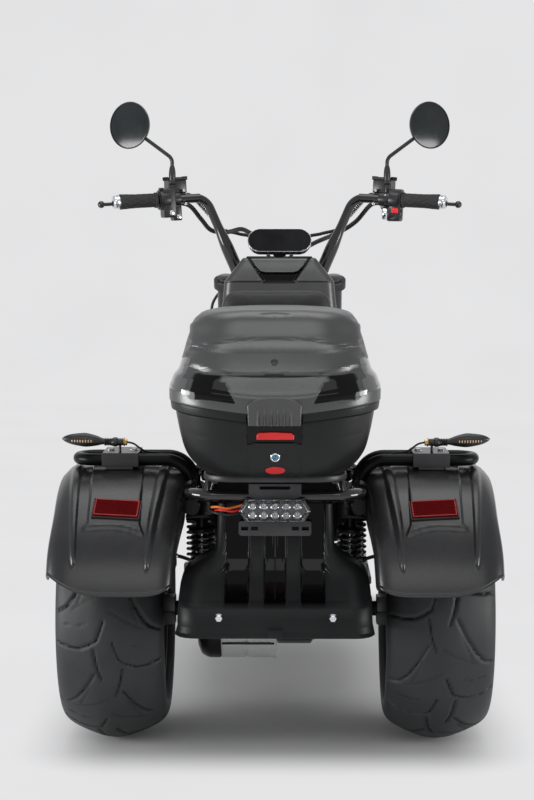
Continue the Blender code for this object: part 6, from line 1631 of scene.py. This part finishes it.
def bar_at(side, out):
    """Frame on the handlebar's end run: X across it, Y up, Z outward."""
    top, end = fore(side * 0.182, 0.325, BAR_TOP), fore(side * 0.392, 0.406, BAR_TOP - 0.012)
    way = unit(end - top)
    share = (out - 0.182) / 0.21
    x_axis = unit(np.cross(Z, way))
    return top + (end - top) * share, np.array([x_axis, np.cross(way, x_axis), way])


def handlebar():
    """Tapering bar and everything on it."""
    foot = steer(0, 0, BAR_HEIGHT)
    corners = []
    for side in (-1, 1):
        run = [fore(side * 0.392, 0.406, BAR_TOP - 0.012), fore(side * 0.182, 0.325, BAR_TOP),
            foot + side * 0.098 * X]
        corners += run if side < 0 else run[::-1]
    path = bent(corners, [0.04, 0.03, 0.03, 0.04], math.radians(4))
    even = smooth(path, 170)
    out = np.abs(even[:, 0])
    radius = BAR_END_R + (BAR_R - BAR_END_R) * (1 - ramp(out, 0.125, 0.155))
    steered("bar_tube", [swept(even, radius, 24)], GLOSS, 50, ["handlebar"])
    for word, side in SIDES:
        grip(word, side)
        brake_lever(word, side)
    switches()
    looms()
    mirrors()
    display()


def grip(word, side):
    """Woven rubber grip with a flange at its inner end and a bright bar end."""
    here = bar_at(side, 0.3)
    length = np.linspace(0.006, 0.0925, 84)
    turn = 2 * np.pi * np.arange(90) / 90
    h, t = np.meshgrid(length, turn, indexing="ij")
    wave = np.abs(np.sin(t * 5 + 1.15 * np.sin(h * 2 * np.pi / 0.03))) ** 0.7
    r = 0.0158 + 0.0012 * wave + 0.0016 * ramp(h, 0.05, 0.0925)
    local = np.stack([r * np.cos(t), r * np.sin(t), h], -1)
    ends = []
    for height, rr in ((0.0, 0.012), (0.0, 0.0186), (0.0038, 0.019), (0.0052, 0.017)):
        ends.append(np.stack([rr * np.cos(turn), rr * np.sin(turn), np.full(90, height)], -1))
    last = [np.stack([rr * np.cos(turn), rr * np.sin(turn), np.full(90, height)], -1)
        for height, rr in ((0.094, 0.0165), (0.094, 0.012))]
    rings = np.concatenate([np.array(ends), local, np.array(last)])
    steered(word + "_grip_rubber", [skinned(place(rings, here))], GRIP, 50, [word + "_grip"])
    cap = [(0.0942, 0.0004), (0.0942, 0.0168), (0.096, 0.0172), (0.0985, 0.0172), (0.0995, 0.016),
        (0.104, 0.0165), (0.1085, 0.015), (0.11, 0.0125), (0.11, 0.0004)]
    steered(word + "_bar_end", [turned(eased(cap, 0.0008), here, 48)], CHROME, 24)


def brake_lever(word, side):
    """Clamp, master cylinder and ball-ended lever, with their screws."""
    hub = bar_at(side, 0.262)
    body = []
    for start, stop, outer in ((-0.018, 0.01, 0.0175), (0.0105, 0.0345, 0.0245), (0.035, 0.0372, 0.0215)):
        ring = [(start, 0.0119), (start, outer), (stop, outer), (stop, 0.0119)]
        body.append(hooped(ring, hub, 48, 0.0012))
    near = sorted((0.0125 * side, 0.046 * side))
    body.append(block((near[0], -0.012, -0.04), (near[1], 0.02, 0.006), hub, 0.003, 0.004))
    body.append(block((near[0] - 0.004, 0.014, -0.042), (near[1] + 0.004, 0.049, 0.004), hub, 0.003, 0.005))
    body.append(block((near[0] - 0.006, 0.0475, -0.0435), (near[1] + 0.006, 0.0535, 0.0055), hub, 0.0015,
        0.006))
    body.append(block((-0.006 + 0.004 * side, -0.024, -0.016), (0.006 + 0.004 * side, 0.022, 0.008), hub,
        0.003, 0.003))
    steered(word + "_master_cylinder", body, SMOOTH, 38, [word + "_control"])
    lever = smooth([place(p, hub) for p in ((0.03 * side, 0.004, -0.02), (0.043 * side, 0.003, 0.012),
        (0.048 * side, 0.001, 0.045), (0.052 * side, -0.002, 0.1), (0.051 * side, -0.004, 0.14),
        (0.05 * side, -0.004, 0.166))], 60)
    swell = np.interp(np.linspace(0, 1, 60), [0, 0.3, 0.8, 1], [0.006, 0.0052, 0.0043, 0.0046])
    tip = np.linspace(0, np.pi, 16)
    ball = np.column_stack([-0.0088 * np.cos(tip), np.maximum(0.0088 * np.sin(tip), 0.0003)])
    steered(word + "_brake_lever", [swept(lever, swell, 18), turned(ball,
        frame_of(lever[-1], lever[-1] - lever[-3]), 28)], GLOSS, 50, slot="gloss_black")
    dots = []
    for x_at, y_at, z_at in ((-0.001, 0.0195, -0.03), (-0.001, -0.0125, -0.03), (0.0, -0.026, -0.006),
            (0.002, 0.008, -0.001)):
        spot = frame_of(place([x_at * side - 0.013 * side * (y_at < 0.015), y_at, z_at], hub), -Y, X)
        dots.append(turned(eased([(-0.008, 0.0004), (-0.008, 0.0036), (0.003, 0.0036), (0.004, 0.0026),
            (0.004, 0.0004)], 0.0006), spot, 20))
    steered(word + "_control_screws", dots, CHROME, 35)


def switches():
    """Switch pods beside both grips, with the caps and the red button."""
    hub = bar_at(1, 0.262)
    barrel = frame_of(place([-0.004, -0.034, 0.014], hub), X, Y)
    pod = [block((-0.018, -0.052, 0.01), (0.012, 0.026, 0.04), hub, 0.004, 0.006),
        turned(eased([(-0.011, 0.0004), (-0.011, 0.017), (-0.006, 0.019), (0.022, 0.019), (0.026, 0.015),
        (0.026, 0.0004)], 0.003), barrel, 40)]
    steered("right_switch_pod", pod, SMOOTH, 40)
    steered("right_switch_end", [turned(eased([(-0.023, 0.0004), (-0.023, 0.013), (-0.0205, 0.0158),
        (-0.0105, 0.0162), (-0.0105, 0.0004)], 0.0015), barrel, 40)], CHROME, 40)
    push = place([-0.0165, 0.007, 0.0075], barrel)
    steered("right_switch_button", [block(push - (0.0085, 0.006, 0.006), push + (0.0085, 0.006, 0.006),
        None, 0.002, 0.003)], RED_BAR, 40)
    hub = bar_at(-1, 0.262)
    pod = [block((-0.016, -0.044, -0.004), (0.02, 0.027, 0.028), hub, 0.004, 0.005),
        block((-0.012, -0.052, -0.018), (0.018, -0.014, 0.004), hub, 0.003, 0.004),
        block((-0.002, 0.022, 0.022), (0.01, 0.0295, 0.034), hub, 0.0015, 0.003)]
    steered("left_switch_pod", pod, SMOOTH, 40)
    steered("left_switch_caps", [block((0.0175, -0.038, 0.004), (0.0225, -0.027, 0.014), hub, 0.001,
        0.002), block((0.016, -0.048, -0.014), (0.0205, -0.038, -0.004), hub, 0.001, 0.002)], CHROME, 40)


def looms():
    """Thick wire looms from the switch pods along the bar."""
    routes = {"left": [(-0.25, 0.33, 1.058), (-0.221, 0.312, 1.05), (-0.194, 0.285, 1.017),
        (-0.1695, 0.262, 0.99), (-0.13, 0.256, 0.9862), (-0.0958, 0.28, 0.993), (-0.07, 0.31, 0.982),
        (-0.05, 0.326, 0.972)], "right": [(0.25, 0.33, 1.058), (0.2235, 0.312, 1.052),
        (0.189, 0.285, 1.0125), (0.15, 0.262, 0.9867), (0.0946, 0.285, 0.963), (0.068, 0.31, 0.951),
        (0.05, 0.322, 0.952)]}
    for word, _ in SIDES:
        sleeve = smooth([fore(*spot) for spot in routes[word]], 120)
        steered(word + "_control_loom", [swept(sleeve, 0.0056 + 0.0003 * np.sin(np.arange(120) * 2.1),
            18)], HOSE, 60)


def mirrors():
    """Round mirrors turned a little outward, on bent stalks with rubber boots; their glass is near black as
    painted reflection.
    """
    for word, side in SIDES:
        base, head = fore(side * 0.262, 0.353, BAR_TOP + 0.03), fore(side * 0.362, 0.365, BAR_TOP + 0.174)
        path = bent([base, fore(side * 0.262, 0.353, BAR_TOP + 0.095),
            fore(side * 0.328, 0.36, BAR_TOP + 0.144), head + 0.012 * Y], [0.022, 0.03], math.radians(5))
        boot = smooth([(0.002, 0.0072), (0.006, 0.0095), (0.01, 0.0082), (0.026, 0.0084), (0.04, 0.007),
            (0.047, 0.0048)], 24)
        boot = np.concatenate([[(0.0, 0.0004)], boot, [(0.048, 0.0004)]])
        post = eased([(-0.022, 0.0004), (-0.022, 0.007), (0.001, 0.007), (0.001, 0.0004)], 0.001)
        steered(word + "_mirror_stalk", [swept(path, 0.0046, 20), turned(boot, frame_of(base, Z), 32),
            turned(post, frame_of(base, Z), 24)], SMOOTH, 45)
        yaw = side * math.radians(-29)
        away = np.array([math.sin(yaw) * -1, -math.cos(yaw), 0.0])
        away = unit(away + 0.05 * Z)
        face = frame_of(head, away, X)
        shell = smooth([(-0.02, 0.0004), (-0.02, 0.018), (-0.016, 0.036), (-0.008, 0.0505),
            (0.001, 0.0562), (0.0055, 0.0572)], 30)
        shell = np.concatenate([shell, [(0.0068, 0.056), (0.0062, 0.0545), (0.0048, 0.054),
            (0.0048, 0.0004)]])
        steered(word + "_mirror_shell", [turned(shell, face, 80)], GLOSS, 38, [word + "_mirror"],
            slot="gloss_black")
        glass = [(0.004, 0.0004), (0.004, 0.0538), (0.0052, 0.0538), (0.0056, 0.052), (0.0062, 0.0004)]
        # Glass near black in place of the mirror's reflection: painted reflection.
        steered(word + "_mirror_glass", [turned(glass, face, 80)], MIRROR_PAINTED_REFLECTION, 50)


def display():
    """Round-ended instrument with a dark glass and bright rim, on its stay."""
    tilt = math.radians(65)
    centre = fore(0, 0.35, 0.962)
    here = (centre, np.array([X, [0, math.cos(tilt), math.sin(tilt)], [0, -math.sin(tilt), math.cos(tilt)]]))
    line = outline_of(0.0775, -0.031, 0.031, 0.0308, 0.0308, 16)
    foot = steer(0, 0, BAR_HEIGHT) + Z * (BAR_R + 0.0005)
    rows = [(foot, 0.026, 0.007), ((foot + centre) / 2, 0.015, 0.006), (centre, 0.03, 0.006)]
    stay = [np.column_stack([outline_of(half, -thick, thick, 0.0025, 0.0025, 4), np.zeros(20)]) + middle
        for middle, half, thick in rows]
    rings = [np.column_stack([inset(line, cut), np.full(len(line), depth)])
        for depth, cut in ((-0.018, 0.012), (-0.016, 0.006), (-0.01, 0.001), (-0.006, 0.0), (0.008, 0.0),
        (0.0112, 0.001), (0.0118, 0.003), (0.0095, 0.0034))]
    steered("display_housing", [skinned(place(np.array(rings), here)), skinned(np.array(stay))], GLOSS, 38,
        ["display"], slot="gloss_black")
    glass = inset(line, 0.0036)
    steered("display_glass", [slab(glass, 0.006, 0.0104, here, 0.0012)], SCREEN, 40)
    edge = np.column_stack([inset(line, 0.0004), np.full(len(line), 0.0098)])
    edge = place(edge, here)
    loop = np.concatenate([edge, edge[:1]])
    steered("display_rim", [swept(loop, 0.0009, 8, False)], CHROME, 60)


def hoses(line):
    """Brake hoses: sleeves with bright spring guards to the splitter, and one down the left leg."""
    splitter = (steer(0, FORK_AHEAD + 0.0303, YOKE_HIGH + YOKE_THICK / 2), AXIS_FRAME[1])
    runs, guards = [block((-0.019, 0.0, -0.01), (0.019, 0.016, 0.014), splitter, 0.002, 0.003)], []
    for side in (-1, 1):
        hub = bar_at(side, 0.262)
        top = steer(side * 0.011, 0.074, YOKE_HIGH + YOKE_THICK / 2)
        path = smooth([place((0.03 * side, 0.008, -0.0424), hub), place((0.031 * side, 0.006, -0.06), hub),
            fore(side * 0.172, 0.284, 1.026), fore(side * 0.146, 0.262, 0.994),
            fore(side * 0.104, 0.25, 0.982), fore(side * 0.06, 0.245, 0.968),
            top + 0.036 * AXIS + side * 0.006 * X, top], 130)
        weave = 0.0042 + 0.00035 * np.sin(np.arange(130) * 2.1)
        runs.append(swept(path, weave, 12))
        part = path[12:34]
        across, over = carried(part)
        turn = np.linspace(0, 2 * np.pi * 13, 220)
        share = np.linspace(0, len(part) - 1, 220)
        mid, u, v = [np.stack([np.interp(share, np.arange(len(part)), table[:, k]) for k in range(3)], -1)
            for table in (part, across, over)]
        wound = mid + 0.0056 * (np.cos(turn)[:, None] * u + np.sin(turn)[:, None] * v)
        guards.append(swept(wound, 0.0009, 6))
    low = place((-DISC_AT - 0.01, 0.0318, 0.088), line)
    path = smooth([steer(-0.015, 0.075, 0.664), steer(-0.034, 0.077, 0.662), steer(-0.078, 0.083, 0.658),
        steer(-0.13, 0.08, 0.64), steer(-0.166, 0.062, 0.605), steer(-0.1735, 0.045, 0.56),
        steer(-0.1735, 0.035, 0.5), steer(-0.1735, 0.026, 0.44), steer(-0.169, 0.01, 0.39),
        steer(-0.154, -0.002, 0.33), steer(-0.138, -0.002, 0.27), steer(-0.134, -0.001, 0.2),
        steer(-0.132, -0.004, 0.13), steer(-0.12, -0.016, 0.085), low + np.array([-0.008, 0.004, 0.018]),
        low], 220)
    runs.append(swept(path, 0.0035, 12))
    steered("brake_hose_runs", runs, HOSE, 60, ["brake_hoses"])
    steered("hose_springs", guards, CHROME, 60)
    clips = []
    for k in (96, 150):
        clips.append(turned(eased([(-0.006, 0.0036), (-0.006, 0.0058), (0.006, 0.0058), (0.006, 0.0036),
            (-0.006, 0.0036), (-0.006, 0.0058)], 0.0006)[1:-1], frame_of(path[k], path[k + 2] - path[k]),
            24, True))
    steered("hose_clips", clips, SMOOTH, 45)


def studio_paper():
    """White paper: lit by the lamps under the vehicle, and evenly pale in the camera's eye away from it; the
    paper under the vehicle is darker than the glow round it, which deepens the shadow there as painted shade.
    """
    look = Look("studio_paper")
    cloud = look.noise(1.4, 3)
    # Lit paper at 0.6 against a glow of about 0.8: darker under the vehicle as painted shade.
    shader = look.node("ShaderNodeBsdfPrincipled", None, {"Base Color": look.blend((0.6, 0.6, 0.6),
        (0.64, 0.64, 0.64), cloud), "Roughness": cloud * 0.1 + 0.75})
    glow = look.node("ShaderNodeEmission", None, {"Color": look.blend((0.775, 0.775, 0.785),
        (0.835, 0.835, 0.845), cloud)})
    spans = [(look.node("ShaderNodeSeparateXYZ", None, {0: look.place}, axis).op("ABSOLUTE")
        - half).op("MAXIMUM", 0) for axis, half in (("X", 0.3), ("Y", 0.76))]
    far = (spans[0] * spans[0] + spans[1] * spans[1]) ** 0.5
    rays = [look.node("ShaderNodeLightPath", out="Is %s Ray" % kind)
        for kind in ("Camera", "Glossy", "Transmission")]
    seen = (rays[0] + rays[1] + rays[2]).op("MINIMUM", 1)
    mixed = look.node("ShaderNodeMixShader", None, {0: far.step(0.0, 0.22) * 0.94 * seen, 1: shader, 2: glow})
    look.tree.links.new(mixed.socket, look.tree.nodes.new("ShaderNodeOutputMaterial").inputs["Surface"])
    return look.material


def studio():
    """Pale floor and backdrop in one sweep, soft overhead and side lamps, and the camera."""
    paper = studio_paper()
    across = np.linspace(-9, 9, 10)
    profile = smooth([(-9, 0.0), (-4, 0.0), (0, 0.0), (6.0, 0.0), (7.5, 0.25), (8.4, 1.2), (8.8, 3.0),
        (9.0, 8.0)], 60)
    profile[:, 1] = np.maximum(profile[:, 1], 0)
    grid = np.stack(np.broadcast_arrays(across[None], profile[:, :1], profile[:, 1:]), -1).astype(float)
    mesh = bpy.data.meshes.new("studio")
    mesh.from_pydata(grid.reshape(-1, 3).tolist(), [], grid_faces(60, 10).tolist())
    mesh.shade_smooth()
    mesh.materials.append(paper)
    floor = bpy.data.objects.new("studio", mesh)
    bpy.context.scene.collection.objects.link(floor)
    for name, spot, aim, size, power in (("overhead", (0, -0.3, 3.6), (0, -0.2, 0.4), (2.5, 2.5), 35),
            ("left_window", (-3.0, -1.5, 0.62), (0, -0.7, 0.5), (1.8, 1.0), 66),
            ("right_window", (3.1, -1.6, 0.65), (0, -0.7, 0.5), (1.6, 1.0), 46),
            ("high_window", (0, -4.8, 3.4), (0, -0.6, 0.5), (3.4, 1.6), 25)):
        light = bpy.data.lights.new(name, "AREA")
        light.shape = "RECTANGLE"
        light.size, light.size_y = size
        light.energy = power
        lamp = bpy.data.objects.new(name, light)
        way = unit(np.array(aim, float) - spot)
        lamp.location = spot
        lamp.rotation_euler = (math.atan2(math.hypot(way[0], way[1]), -way[2]), 0,
            math.atan2(way[1], way[0]) - math.pi / 2)
        bpy.context.scene.collection.objects.link(lamp)
    world = bpy.data.worlds.new("studio_air")
    world.use_nodes = True
    bpy.context.scene.world = world
    world.node_tree.nodes["Background"].inputs[0].default_value = (0.93, 0.94, 0.96, 1)
    world.node_tree.nodes["Background"].inputs[1].default_value = 0.55
    lens = bpy.data.cameras.new("camera")
    lens.sensor_fit = "VERTICAL"
    lens.sensor_height = 24
    lens.lens = 61.404
    camera = bpy.data.objects.new("camera", lens)
    camera.location = (0.0312, -4.6103, 0.9862)
    camera.rotation_euler = (math.radians(90 - 4.694), 0, 0.012334)
    bpy.context.scene.collection.objects.link(camera)
    bpy.context.scene.camera = camera
    bpy.context.scene.view_settings.view_transform = "Standard"


def main():
    """Every piece, then the studio."""
    wheels()
    for word, side in SIDES:
        fender(word, side)
        fender_rail(word, side)
        rear_indicator(word, side)
    rear_cover()
    top_case()
    frame_and_rack()
    tail_lamp()
    running_gear()
    leg_shield()
    line = steering_head()
    handlebar()
    hoses(line)
    cushions()
    bracket = frame["nodes"]["plate_bracket"]
    bracket.data.materials.clear()
    bracket.data.materials.append(STEEL)
    studio()


main()
